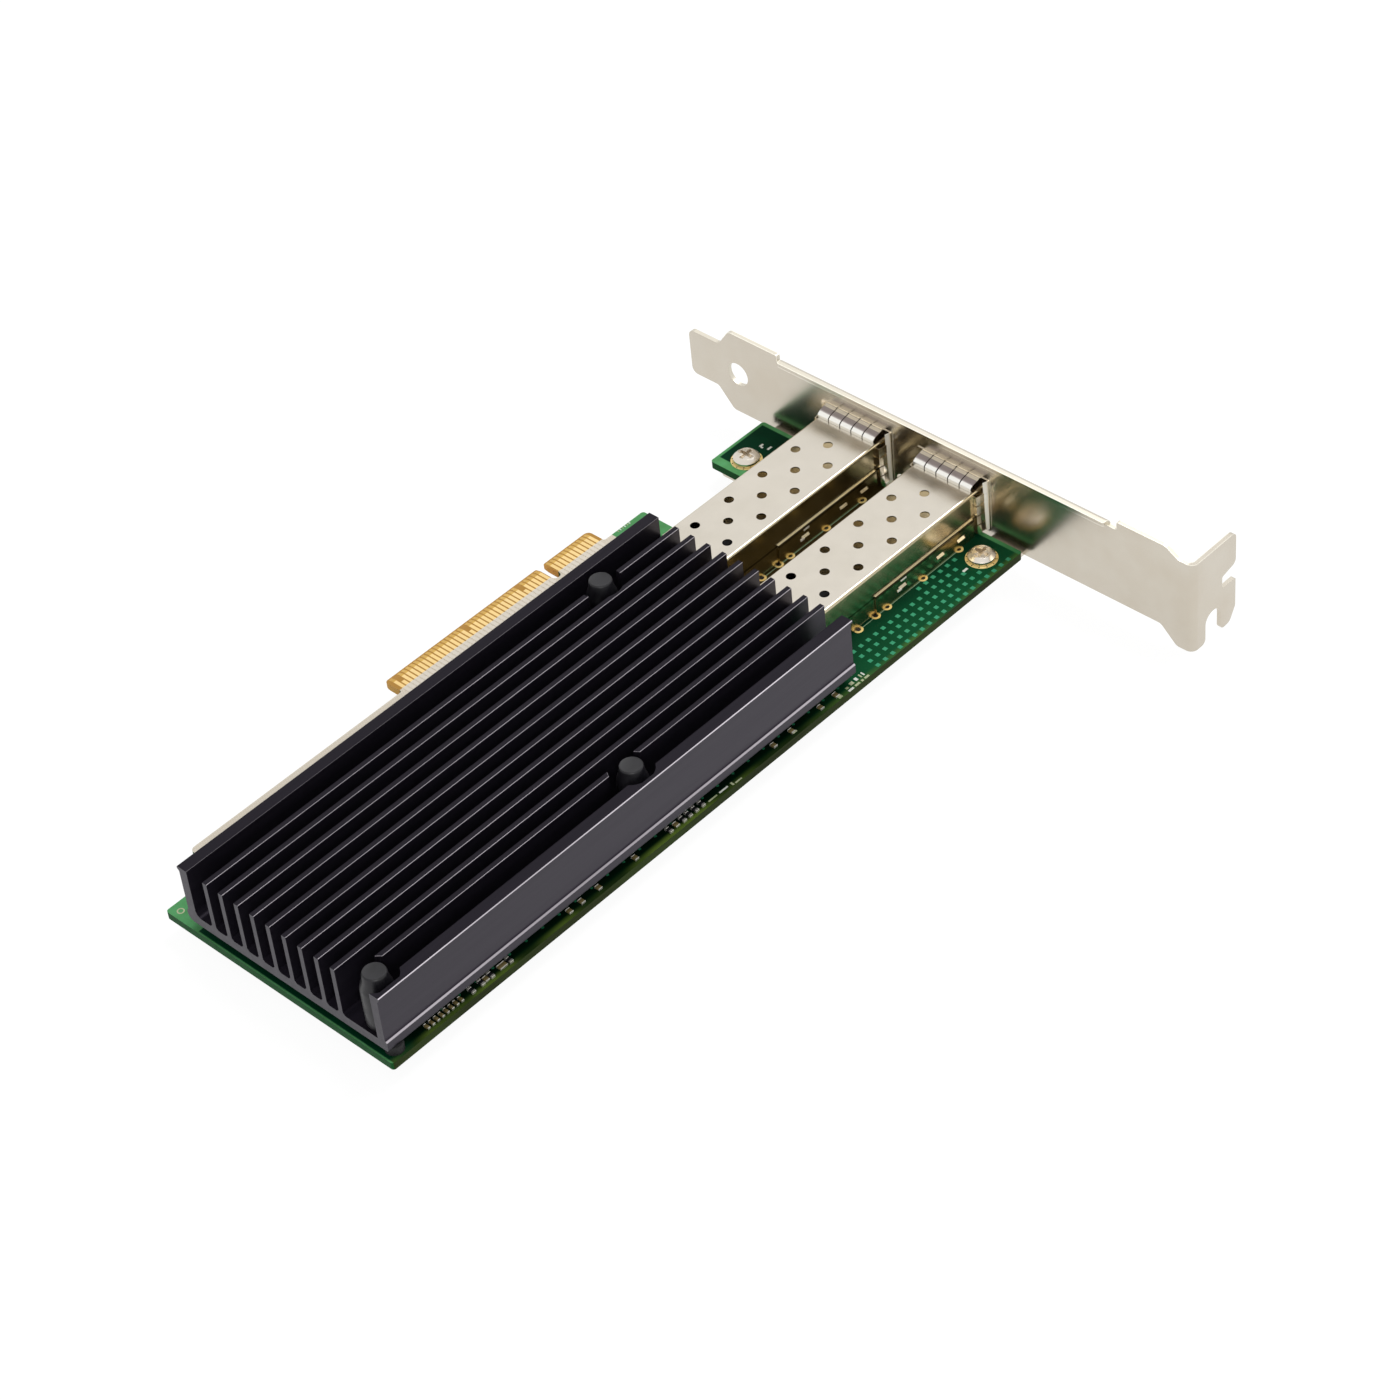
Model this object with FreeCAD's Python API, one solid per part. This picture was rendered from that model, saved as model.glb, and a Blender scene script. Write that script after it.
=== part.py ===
"""Low-profile dual-port network interface card with a full-height bracket.

The board lies flat, component side up. X runs along the board from the bracket to the rear end, Y runs
across it from the edge-connector tongue to the far long edge, and Z is up. The origin is the middle of the
key notch at the tip of the tongue, half way through the board, where the slot that takes the card is placed.
"""
import FreeCAD, Part
import math
import os

V = FreeCAD.Vector

# ---- circuit board (all sizes in millimetres) ----
BOARD_LENGTH = 159.0
BOARD_WIDTH = 63.3
BOARD_THICK = 1.57
TONGUE_REACH = 4.55
KEY_FROM_FRONT = 56.4
KEY_WIDTH = 1.9
KEY_DEPTH = 5.1
KEY_MOUTH_R = 0.3
KEY_END_FLAT = 0.1
SHORT_SEGMENT = 11.65
LONG_SEGMENT = 38.65
TONGUE_CORNER = 0.9
TONGUE_ROOT_R = 0.4
TONGUE_BEVEL_DEPTH = 1.3
TONGUE_TIP_THICK = 0.9
CUTOUT_START = 14.85
CUTOUT_END = 33.4
CUTOUT_DEPTH = 9.5
REAR_STEP_START = 146.6
REAR_STEP_DEPTH = 7.85
BOARD_CORNER = 0.6
STEP_CORNER = 1.0

# ---- gold contacts of the edge connector ----
CONTACT_PITCH = 1.0
CONTACT_WIDTH = 0.7
CONTACT_THICK = 0.04
CONTACT_LENGTH = 4.1
CONTACT_SETBACK = 0.35
SHORT_CONTACT_CUT = 1.0
FIRST_CONTACTS = 11
ALL_CONTACTS = 49
KEY_GAP_CONTACTS = 2
FIRST_CONTACT_SHIFT = 0.275
SHORT_CONTACTS_TOP = (17, 31, 48)
SHORT_CONTACTS_BOTTOM = (1,)

# ---- bracket ----
SHEET = 0.86
BRACKET_GAP = 1.3
BRACKET_LENGTH = 120.02
BRACKET_HEIGHT = 18.42
BRACKET_DROP = 1.85
TAB_FROM_SHOULDER = 100.8
TAB_LENGTH = 11.43
BEND_OUTSIDE = 1.5
TONGUE_TAIL = 6.8
TONGUE_SLOPE = 3.7
TONGUE_LOW = 4.15
TONGUE_HIGH = 14.4
TONGUE_HIGH_SETBACK = 1.0
WEB_CORNER = 1.4
TAIL_HOLE_R = 2.5
TAIL_HOLE_FROM_END = 12.3
TAIL_HOLE_HEIGHT = 9.1
NECK_FROM_TAB = 3.6
NECK_SLOPE = 3.5
NECK_LOW = -3.4
NECK_HIGH = 16.6
NECK_HIGH_SHIFT = 0.4
NECK_HIGH_SLOPE = 3.0
FLANGE_START = 4.6
FLANGE_LENGTH = 77.4
FLANGE_DROP = 0.5
FLANGE_REACH = 1.15
FLANGE_BEND = 1.3
FLANGE_CORNER = 0.55
RELIEF_START = 0.8
RELIEF_END = 1.9
RELIEF_R = 0.4
SCREW_SLOT_WIDTH = 4.42
SCREW_SLOT_DEPTH = 6.2
SCREW_SLOT_FROM_FACE = 5.0
SCREW_SLOT_MOUTH_R = 1.0
SCREW_SLOT_END_FLAT = 0.1
TAB_CORNER = 1.2
TAB_EAR_TAPER = 1.6
TAB_EAR_LENGTH = 3.0
TAB_EAR_RISE = 0.2
TAB_NOTCH_WIDTH = 3.6
TAB_NOTCH_DEPTH = 3.9
TAB_NOTCH_HEIGHT = 4.2
TAB_NOTCH_TAPER = 0.9
TAB_NOTCH_R = 0.4
LUG_WIDTH = 7.4
LUG_OVERHANG = 4.0
LUG_CORNER = 1.5
LUG_GAP = 0.03

# ---- bracket screws ----
SCREW_PLACES = ((10.5, 5.3), (5.7, 58.5))
SCREW_SHANK_R = 1.2
SCREW_FIT = 0.02
SCREW_POINT = 0.35
SCREW_HEAD_R = 2.6
SCREW_HEAD_HEIGHT = 1.6
SCREW_CROWN_R = 1.9
SCREW_SIDE_HEIGHT = 0.85
SCREW_CROWN_DISH = 0.15
SCREW_HOLE_R = 1.45
SCREW_END_PROUD = 0.7
RECESS_WIDTH = 0.75
RECESS_SPAN = 3.0
RECESS_DEPTH = 1.0

# ---- module cages ----
CAGE_PLACES = {"left": 23.1, "right": 46.35}
CAGE_WIDTH = 14.25
CAGE_HEIGHT = 9.75
CAGE_LENGTH = 48.6
CAGE_REAR = 44.2
CAGE_SHEET = 0.25
CAGE_EDGE_R = 0.5
CAGE_FOOT_GAP = 0.1
LAP_GAP = 0.03
VENT_R = 0.95
VENT_FIRST = 6.75
VENT_PITCH = 4.55
VENT_ROWS = 8
VENT_SPREAD = 3.96
BASE_WALL_START = 2.1
BASE_WALL_END = 29.2
BASE_WALL = 4.3
BASE_LIP = 0.25
BASE_LIP_HEIGHT = 0.35
LATCH_PLACES = (5.7, 11.5, 22.0)
LATCH_HEIGHT = 1.8
LATCH_LENGTH = 1.9
LATCH_SIZE = 0.45
LATCH_SLACK = 0.2
COVER_PIN_PLACES = (34.1,)
BASE_PIN_PLACES = (6.4, 16.45, 26.35)
CAGE_PIN_WIDTH = 0.75
CAGE_PIN_PROUD = 0.5
CAGE_PIN_HOLE_R = 0.55
MODULE_WINDOW_START = 5.6
MODULE_WINDOW_LENGTH = 2.6
MODULE_WINDOW_WIDTH = 3.0
PORT_CLEARANCE = 1.05
PORT_BOTTOM_CLEARANCE = 0.6
PORT_CORNER = 0.8

# ---- spring collars round the cage mouths ----
COLLAR_SHEET = 0.15
COLLAR_BAND = 1.6
RIM_MARGIN = 1.35
RIM_TOP = 1.9
RIM_BOTTOM = 0.1
RIM_GAP = 0.02
RIM_CORNER = 0.4
FINGER_END = 1.6
FINGER_CURL = 0.75
FINGER_CURL_R = 0.42
FINGER_KNEE = 0.7
FINGER_BOW = 0.08
FINGER_TIP_GAP = 0.03
FINGER_SLIT = 0.25
TOP_FINGERS = 5
TOP_FINGER_ROOT = 1.75
SIDE_FINGERS = 4
SIDE_FINGER_ROOT = 0.95
SIDE_FINGER_START = 0.4

# ---- module connectors inside the cages ----
PLUG_SIDE_CLEARANCE = 0.775
PLUG_HEIGHT = 6.2
PLUG_LENGTH = 9.6
PLUG_FROM_CAGE_REAR = 1.3
PLUG_SLOT_WALL = 0.8
PLUG_SLOT_HEIGHT = 1.9
PLUG_SLOT_RISE = 2.5
PLUG_SLOT_DEPTH = 6.0
PLUG_TOE = 1.2
PLUG_HEEL_LENGTH = 1.5
PLUG_HEEL_DROP = 1.0
PLUG_EDGE_R = 0.4
TAIL_COUNT = 10
TAIL_PITCH = 0.8
TAIL_WIDTH = 0.3
TAIL_LENGTH = 0.9
TAIL_THICK = 0.15
FRONT_TAIL_INSET = 1.6

# ---- heat sink extrusion ----
SINK_FRONT = 44.6
SINK_REAR = 158.6
SINK_LEFT = 13.85
SINK_WIDTH = 48.5
SINK_LIFT = 1.8
SINK_BASE = 1.9
SINK_HEIGHT = 12.35
FIN_COUNT = 10
FIN_PITCH = 3.85
FIN_THICK = 1.0
FIN_ROOT_BEVEL = 0.5
WALL_THICK = 1.95
WALL_LIP = 0.45
WALL_LIP_HEIGHT = 0.9
WALL_LIP_SLOPE = 0.35
FOOT_LIP_RISE = 2.0
FOOT_LIP_SLOPE = 0.5
LIP_ROOT_R = 0.4
TOP_EDGE_R = 0.2
INNER_ROOT_R = 1.4
LEFT_FOOT_R = 1.5
RIGHT_FOOT_R = 0.4

# ---- spring-loaded push pins that clamp the heat sink ----
PIN_PLACES = ((64.0, 20.4), (95.2, 57.55), (155.15, 57.95))
POCKET_R = 4.1
POCKET_WALL_LEFT = 0.5
PIN_CAP_R = 2.6
PIN_SKIRT_R = 2.9
PIN_TOP = 15.0
PIN_CAP_TAPER = 2.6
PIN_SKIRT_GAP = 0.1
PIN_SHANK_R = 1.45
PIN_HOLE_R = 1.6
PIN_CAP_EASE = 0.15
SPRING_WIRE = 0.5
SPRING_TURNS = 2
SPRING_BORE_R = 2.6
SPRING_SEAT = 0.6
BARB_R = 2.05
BARB_TIP_R = 0.9
BARB_GAP = 0.1
BARB_LENGTH = 2.6

# ---- rubber spacers between the board and the heat sink ----
SPACER_R = 1.7
SPACER_PLACES = ((50.0, 20.0), (50.0, 57.0), (150.5, 20.0), (156.35, 61.1))

# ---- parts on the board: packages are length, width, height; places are along, across ----
CONTROLLER_PLACE = (104.0, 36.0)
CARRIER_SIZE = 27.0
CARRIER_THICK = 0.9
CAP_SIZE = 21.0
CAP_THICK = 0.5
PAD_MARGIN = 0.5
CHIP_EASE = 0.12
MEMORY_SIZE = (5.0, 6.0, 0.9)
MEMORY_PLACES = ((72.0, 50.0), (72.0, 42.0))
REGULATOR_SIZE = (5.0, 5.0, 0.9)
REGULATOR_PLACES = ((132.0, 26.0), (132.0, 40.0))
INDUCTOR_SIZE = (7.0, 6.6, 1.6)
INDUCTOR_PLACES = ((141.0, 26.0), (141.0, 40.0))
CRYSTAL_SIZE = (3.2, 2.5, 0.8)
CRYSTAL_PLACES = ((80.0, 26.0),)
CERAMIC_SIZE = (1.6, 0.8, 0.8)
CERAMIC_SPAN = 32.0
CERAMIC_ROW = 8
RESISTOR_SIZE = (1.0, 0.5, 0.35)
RESISTOR_SPAN = 36.0
RESISTOR_ROW = 8
UNDERSIDE_SIZE = (1.0, 0.5, 0.5)
UNDERSIDE_SPAN = 16.2
UNDERSIDE_ROW = 6
LED_PLACES = (33.4, 35.9)
LED_SETBACK = 0.5
LED_SIZE = (1.6, 1.6, 2.2)
LED_AXIS = 1.7
LED_HOLE_R = 0.9

# ---- places worked out from the sizes above ----
FRONT = -KEY_FROM_FRONT
REAR = FRONT + BOARD_LENGTH
SHOULDER = TONGUE_REACH
FAR_EDGE = SHOULDER + BOARD_WIDTH
TOP = BOARD_THICK / 2
BOTTOM = -TOP
TONGUE_START = -KEY_WIDTH / 2 - SHORT_SEGMENT
TONGUE_END = KEY_WIDTH / 2 + LONG_SEGMENT
BRACKET_IN = FRONT - BRACKET_GAP
BRACKET_OUT = BRACKET_IN - SHEET
BRACKET_LOW = TOP - BRACKET_DROP
BRACKET_HIGH = BRACKET_LOW + BRACKET_HEIGHT
TAB_FACE = SHOULDER + TAB_FROM_SHOULDER
TAIL_END = TAB_FACE - BRACKET_LENGTH
TAB_TIP = BRACKET_OUT - TAB_LENGTH
CAGE_FRONT = CAGE_REAR - CAGE_LENGTH
PLUG_WIDTH = CAGE_WIDTH - 2 * (CAGE_SHEET + PLUG_SIDE_CLEARANCE)
SINK_CENTRE = SINK_LEFT + SINK_WIDTH / 2
SINK_INNER = SINK_WIDTH / 2 - WALL_LIP - WALL_THICK
BASE_TOP = SINK_LIFT + SINK_BASE


def along(distance):
    """X of a point this far behind the board's front edge."""
    return FRONT + distance


def across(distance):
    """Y of a point this far in from the board's long edge at the tongue."""
    return SHOULDER + distance


def above(height):
    """Z of a point this high over the component side."""
    return TOP + height


def box(x0, x1, y0, y1, z0, z1):
    """Block between two opposite corners."""
    return Part.makeBox(x1 - x0, y1 - y0, z1 - z0, V(x0, y0, z0))


def post(x, y, z0, z1, radius):
    """Upright cylinder."""
    return Part.makeCylinder(radius, z1 - z0, V(x, y, z0), V(0, 0, 1))


def small_post(x, y, z0, z1, radius, sides):
    """Upright many-sided prism, for holes too small to need a true circle."""
    turns = [2 * math.pi * i / sides for i in range(sides)]
    ring = [V(x + radius * math.cos(turn), y + radius * math.sin(turn), z0) for turn in turns]
    return Part.Face(Part.makePolygon(ring + ring[:1])).extrude(V(0, 0, z1 - z0))


def outline(corners, place):
    """Closed wire through (u, v, radius) corners; each corner is rounded by its own tangent arc."""
    count = len(corners)
    points = [V(u, v, 0) for u, v, radius in corners]
    stops = []
    for i, (u, v, radius) in enumerate(corners):
        here = points[i]
        if radius == 0:
            stops.append((here, None, here))
            continue
        back = (points[i - 1] - here).normalize()
        ahead = (points[(i + 1) % count] - here).normalize()
        half = back.getAngle(ahead) / 2
        inward = (back + ahead).normalize()
        reach = radius / math.tan(half)
        middle = here + inward * (radius / math.sin(half) - radius)
        stops.append((here + back * reach, middle, here + ahead * reach))
    edges = []
    for i, (start, middle, end) in enumerate(stops):
        if middle is not None:
            edges.append(Part.Arc(place(start), place(middle), place(end)).toShape())
        following = stops[(i + 1) % count][0]
        if (following - end).Length > 1e-6:
            edges.append(Part.LineSegment(place(end), place(following)).toShape())
    return Part.Wire(edges)


def plate_xy(corners, z0, z1):
    """Flat plate: an outline in X and Y, raised from z0 to z1."""
    wire = outline(corners, lambda p: V(p.x, p.y, z0))
    return Part.Face(wire).extrude(V(0, 0, z1 - z0))


def plate_yz(corners, x0, x1):
    """Profile in Y and Z, drawn out from x0 to x1."""
    wire = outline(corners, lambda p: V(x0, p.x, p.y))
    return Part.Face(wire).extrude(V(x1 - x0, 0, 0))


def plate_xz(corners, y0, y1):
    """Profile in X and Z, drawn out from y0 to y1."""
    wire = outline(corners, lambda p: V(p.x, y0, p.y))
    return Part.Face(wire).extrude(V(0, y1 - y0, 0))


def joined(shapes):
    """One solid out of touching shapes, with the seams between coplanar faces removed."""
    return shapes[0].multiFuse(shapes[1:]).removeSplitter()


def save(name, shapes):
    """Writes one sub-part; a list of separate solids becomes a group."""
    shape = Part.makeCompound(shapes) if isinstance(shapes, list) else shapes
    shape.exportStep(os.path.join("parts", name + ".step"))


def screw_points():
    return [(along(a), across(b)) for a, b in SCREW_PLACES]


def pin_points():
    return [(along(a), across(b)) for a, b in PIN_PLACES]


def cage_sides(side):
    """Y of the outer faces of a cage's two side walls."""
    middle = across(CAGE_PLACES[side])
    return middle - CAGE_WIDTH / 2, middle + CAGE_WIDTH / 2


# ---- board and its contacts ----

def board_outline():
    tip, r = 0.0, BOARD_CORNER
    key = KEY_WIDTH / 2
    key_end = (KEY_WIDTH - KEY_END_FLAT) / 2
    cut_in = across(CUTOUT_DEPTH)
    step_in = across(REAR_STEP_DEPTH)
    return [
        (FRONT, SHOULDER, r),
        (along(CUTOUT_START), SHOULDER, r),
        (along(CUTOUT_START), cut_in, STEP_CORNER),
        (along(CUTOUT_END), cut_in, STEP_CORNER),
        (along(CUTOUT_END), SHOULDER, r),
        (TONGUE_START, SHOULDER, TONGUE_ROOT_R),
        (TONGUE_START, tip, TONGUE_CORNER),
        (-key, tip, KEY_MOUTH_R),
        (-key, KEY_DEPTH, key_end),
        (key, KEY_DEPTH, key_end),
        (key, tip, KEY_MOUTH_R),
        (TONGUE_END, tip, TONGUE_CORNER),
        (TONGUE_END, SHOULDER, TONGUE_ROOT_R),
        (along(REAR_STEP_START), SHOULDER, STEP_CORNER),
        (along(REAR_STEP_START), step_in, STEP_CORNER),
        (REAR, step_in, r),
        (REAR, FAR_EDGE, r),
        (FRONT, FAR_EDGE, r),
    ]


def circuit_board():
    board = plate_xy(board_outline(), BOTTOM, TOP)
    drop = (BOARD_THICK - TONGUE_TIP_THICK) / 2
    bevels = []
    for side in (1, -1):
        wedge = [V(TONGUE_START - 1, -1, side * (TOP - drop - drop / TONGUE_BEVEL_DEPTH)),
                 V(TONGUE_START - 1, TONGUE_BEVEL_DEPTH, side * TOP),
                 V(TONGUE_START - 1, -1, side * TOP)]
        face = Part.Face(Part.makePolygon(wedge + wedge[:1]))
        bevels.append(face.extrude(V(TONGUE_END - TONGUE_START + 2, 0, 0)))
    holes = [post(x, y, BOTTOM - 1, TOP + 1, SCREW_HOLE_R) for x, y in screw_points()]
    holes += [post(x, y, BOTTOM - 1, TOP + 1, PIN_HOLE_R) for x, y in pin_points()]
    for side in CAGE_PLACES:
        for y, places in cage_pin_rows(side):
            holes += [small_post(along(a), y, BOTTOM - 1, TOP + 1, CAGE_PIN_HOLE_R, 8) for a in places]
    return board.cut(bevels + holes)


def contact_places():
    """X of every contact: the first group before the key notch, the rest after it."""
    margin = (SHORT_SEGMENT - (FIRST_CONTACTS - 1) * CONTACT_PITCH) / 2
    first = TONGUE_START + margin + FIRST_CONTACT_SHIFT
    places = []
    for i in range(ALL_CONTACTS):
        skipped = KEY_GAP_CONTACTS if i >= FIRST_CONTACTS else 0
        places.append(first + (i + skipped) * CONTACT_PITCH)
    return places


def contacts(side, short_ones):
    """Row of gold pads on one face of the tongue; the presence-detect pads, counted from 1, are shorter."""
    pads = []
    face = side * TOP
    z0, z1 = sorted((face, face + side * CONTACT_THICK))
    start = TONGUE_BEVEL_DEPTH + CONTACT_SETBACK
    for number, x in enumerate(contact_places(), 1):
        y0 = start + (SHORT_CONTACT_CUT if number in short_ones else 0)
        half = CONTACT_WIDTH / 2
        pads.append(box(x - half, x + half, y0, start + CONTACT_LENGTH, z0, z1))
    return pads


# ---- bracket: one folded sheet ----

def bracket_web():
    """Upright face of the bracket, with its tail, neck and the edge that the flange is folded from."""
    slope_top = TAIL_END + TONGUE_TAIL + TONGUE_SLOPE
    low, high = BRACKET_LOW, BRACKET_HIGH
    neck = TAB_FACE - NECK_FROM_TAB
    folded = high - FLANGE_DROP - FLANGE_BEND
    start, end = across(FLANGE_START), across(FLANGE_START + FLANGE_LENGTH)
    neck_low = TOP + NECK_LOW - BRACKET_DROP
    neck_high = TOP + NECK_HIGH - BRACKET_DROP
    tongue_low = TOP + TONGUE_LOW - BRACKET_DROP
    tongue_high = TOP + TONGUE_HIGH - BRACKET_DROP
    neck_top = neck + NECK_HIGH_SHIFT
    tongue_top = TAIL_END + TONGUE_TAIL + TONGUE_HIGH_SETBACK
    r = WEB_CORNER
    corners = [
        (TAIL_END, tongue_low, r),
        (TAIL_END + TONGUE_TAIL, tongue_low, r),
        (slope_top, low, r),
        (neck - NECK_SLOPE, low, r),
        (neck, neck_low, r),
        (TAB_FACE - BEND_OUTSIDE, neck_low, 0),
        (TAB_FACE - BEND_OUTSIDE, neck_high, 0),
        (neck_top, neck_high, r),
        (neck_top - NECK_HIGH_SLOPE, high, r),
        (end + RELIEF_END, high, RELIEF_R),
        (end + RELIEF_END, folded, RELIEF_R),
        (start - RELIEF_START, folded, RELIEF_R),
        (start - RELIEF_START, high, RELIEF_R),
        (slope_top, high, r),
        (tongue_top, tongue_high, r),
        (TAIL_END, tongue_high, r),
    ]
    return plate_yz(corners, BRACKET_OUT, BRACKET_IN)


def quarter_bend(centre, axis, start, length, outside):
    """Quarter of a ring of sheet metal swept about a fold line from a start direction."""
    face_corners = [centre + start * (outside - SHEET), centre + start * outside]
    far = [corner + axis * length for corner in reversed(face_corners)]
    face = Part.Face(Part.makePolygon(face_corners + far + face_corners[:1]))
    return face.revolve(centre, axis, 90)


def bracket_flange():
    """Stiffening flange folded in over the board along the top edge, its free corners eased."""
    start, end = across(FLANGE_START), across(FLANGE_START + FLANGE_LENGTH)
    top = BRACKET_HIGH - FLANGE_DROP
    root = BRACKET_OUT + FLANGE_BEND
    edge = BRACKET_IN + FLANGE_REACH
    fold_line = V(root, start, top - FLANGE_BEND)
    bend = quarter_bend(fold_line, V(0, 1, 0), V(-1, 0, 0), FLANGE_LENGTH, FLANGE_BEND)
    corners = [(root, start, 0), (edge, start, FLANGE_CORNER), (edge, end, FLANGE_CORNER), (root, end, 0)]
    lip = plate_xy(corners, top - SHEET, top)
    return [bend, lip]


def bracket_tab():
    """Tab folded outwards at the top of the bracket, with its open screw slot and its edge notch."""
    low = TOP + NECK_LOW - BRACKET_DROP
    high = TOP + NECK_HIGH - BRACKET_DROP
    root = BRACKET_IN - BEND_OUTSIDE
    centre = V(root, TAB_FACE - BEND_OUTSIDE, low)
    bend = quarter_bend(centre, V(0, 0, 1), V(1, 0, 0), high - low, BEND_OUTSIDE)
    slot_middle = BRACKET_OUT - SCREW_SLOT_FROM_FACE
    slot_a, slot_b = slot_middle - SCREW_SLOT_WIDTH / 2, slot_middle + SCREW_SLOT_WIDTH / 2
    notch_low = TOP + TAB_NOTCH_HEIGHT
    notch_in = TAB_TIP + TAB_NOTCH_DEPTH
    round_end = (SCREW_SLOT_WIDTH - SCREW_SLOT_END_FLAT) / 2
    r = TAB_CORNER
    corners = [
        (root, low, 0),
        (slot_b, low, SCREW_SLOT_MOUTH_R),
        (slot_b, low + SCREW_SLOT_DEPTH, round_end),
        (slot_a, low + SCREW_SLOT_DEPTH, round_end),
        (slot_a, low, SCREW_SLOT_MOUTH_R),
        (TAB_TIP + TAB_EAR_TAPER, low + TAB_EAR_RISE, r),
        (TAB_TIP, low + TAB_EAR_LENGTH, r),
        (TAB_TIP, notch_low, TAB_NOTCH_R),
        (notch_in, notch_low, TAB_NOTCH_R),
        (notch_in, notch_low + TAB_NOTCH_WIDTH - TAB_NOTCH_TAPER, TAB_NOTCH_R),
        (TAB_TIP, notch_low + TAB_NOTCH_WIDTH, r),
        (TAB_TIP, high, r),
        (root, high, 0),
    ]
    return [bend, plate_xz(corners, TAB_FACE - SHEET, TAB_FACE)]


def bracket_lug(x, y):
    """Ear folded in under the board, tapped for one screw."""
    top = BOTTOM - LUG_GAP
    low = top - SHEET
    reach = x + LUG_OVERHANG
    y0, y1 = y - LUG_WIDTH / 2, y + LUG_WIDTH / 2
    corners = [(reach, y0, LUG_CORNER), (reach, y1, LUG_CORNER), (BRACKET_OUT, y1, 0), (BRACKET_OUT, y0, 0)]
    ear = plate_xy(corners, low, top)
    ear = ear.cut(post(x, y, low - 1, top + 1, SCREW_SHANK_R))
    root = box(BRACKET_OUT, BRACKET_IN, y0, y1, low, BRACKET_LOW + 1)
    return [ear, root]


def through_web(y, z, radius):
    """Round tool that passes through the bracket's upright face."""
    return Part.makeCylinder(radius, 3 * SHEET, V(BRACKET_OUT - SHEET, y, z), V(1, 0, 0))


def bracket():
    sheet = [bracket_web()] + bracket_flange() + bracket_tab()
    for x, y in screw_points():
        sheet += bracket_lug(x, y)
    cuts = [through_web(TAIL_END + TAIL_HOLE_FROM_END, BRACKET_LOW + TAIL_HOLE_HEIGHT, TAIL_HOLE_R)]
    cuts += [through_web(across(b), above(LED_AXIS), LED_HOLE_R) for b in LED_PLACES]
    r, gap = PORT_CORNER, PORT_CLEARANCE
    for side in CAGE_PLACES:
        y0, y1 = cage_sides(side)
        z0, z1 = above(-PORT_BOTTOM_CLEARANCE), above(CAGE_HEIGHT + gap)
        mouth = [(y0 - gap, z0, r), (y1 + gap, z0, r), (y1 + gap, z1, r), (y0 - gap, z1, r)]
        cuts.append(plate_yz(mouth, BRACKET_OUT - 1, BRACKET_IN + 1))
    return joined(sheet).cut(cuts)


def turned(points):
    """Solid of revolution about Z from a closed list of (r, z) points."""
    corners = [V(r, 0, z) for r, z in points]
    return Part.Face(Part.makePolygon(corners + corners[:1])).revolve(V(0, 0, 0), V(0, 0, 1), 360)


def bracket_screw(x, y):
    """Pan-head machine screw with a cross recess."""
    crown = TOP + SCREW_HEAD_HEIGHT
    tip = BOTTOM - LUG_GAP - SHEET - SCREW_END_PROUD
    thread = SCREW_SHANK_R - SCREW_FIT
    body = turned([
        (0, tip), (thread - SCREW_POINT, tip), (thread, tip + SCREW_POINT), (thread, TOP),
        (SCREW_HEAD_R, TOP), (SCREW_HEAD_R, TOP + SCREW_SIDE_HEIGHT),
        (SCREW_CROWN_R, crown - SCREW_CROWN_DISH), (0, crown),
    ])
    half, reach = RECESS_WIDTH / 2, RECESS_SPAN / 2
    low, high = crown - RECESS_DEPTH, crown + 1
    body = body.cut([box(-reach, reach, -half, half, low, high), box(-half, half, -reach, reach, low, high)])
    body.translate(V(x, y, 0))
    return body


# ---- cages ----

def cage_pin_rows(side):
    """Rows of board pins as (Y, places): two under the cover's walls, two under the base's outer walls."""
    y0, y1 = cage_sides(side)
    inset, lap = CAGE_SHEET / 2, LAP_GAP + CAGE_SHEET / 2
    return [(y0 + inset, COVER_PIN_PLACES), (y1 - inset, COVER_PIN_PLACES),
            (y0 - lap, BASE_PIN_PLACES), (y1 + lap, BASE_PIN_PLACES)]


def cage_pins(y, places, top):
    """Board pins of one row."""
    half, t = CAGE_PIN_WIDTH / 2, CAGE_SHEET
    low = BOTTOM - CAGE_PIN_PROUD
    return [box(along(a) - half, along(a) + half, y - t / 2, y + t / 2, low, top) for a in places]


def cage_cover(side):
    """Folded cover: roof, two sides and rear wall, with vent holes, latch tabs and its rear board pins."""
    y0, y1 = cage_sides(side)
    x0, x1 = along(CAGE_FRONT), along(CAGE_REAR)
    t, r = CAGE_SHEET, CAGE_EDGE_R
    z0, z1 = above(CAGE_FOOT_GAP) + t + LAP_GAP, above(CAGE_HEIGHT)
    shell = plate_yz([(y0, z0, 0), (y1, z0, 0), (y1, z1, r), (y0, z1, r)], x0, x1)
    y_in, y_out, r_in = y0 + t, y1 - t, r - t
    hollow = [(y_in, z0 - 1, 0), (y_out, z0 - 1, 0), (y_out, z1 - t, r_in), (y_in, z1 - t, r_in)]
    extras = [shell.cut(plate_yz(hollow, x0 - 1, x1 - t))]
    low = above(LATCH_HEIGHT)
    for wall, out in ((y0, -1), (y1, 1)):
        for a in LATCH_PLACES:
            tab = [(wall, low, 0), (wall + out * LATCH_SIZE, low, 0), (wall, low + LATCH_SIZE, 0)]
            extras.append(plate_yz(tab, along(a) - LATCH_LENGTH / 2, along(a) + LATCH_LENGTH / 2))
    for y, places in cage_pin_rows(side)[:2]:
        extras += cage_pins(y, places, z0 + t)
    middle = across(CAGE_PLACES[side])
    vents = []
    for row in range(VENT_ROWS):
        x = along(VENT_FIRST + row * VENT_PITCH)
        offsets = (0,) if row % 2 == 0 else (-VENT_SPREAD, VENT_SPREAD)
        vents += [small_post(x, middle + offset, z1 - 1, z1 + 1, VENT_R, 14) for offset in offsets]
    return joined(extras).cut(vents)


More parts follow.
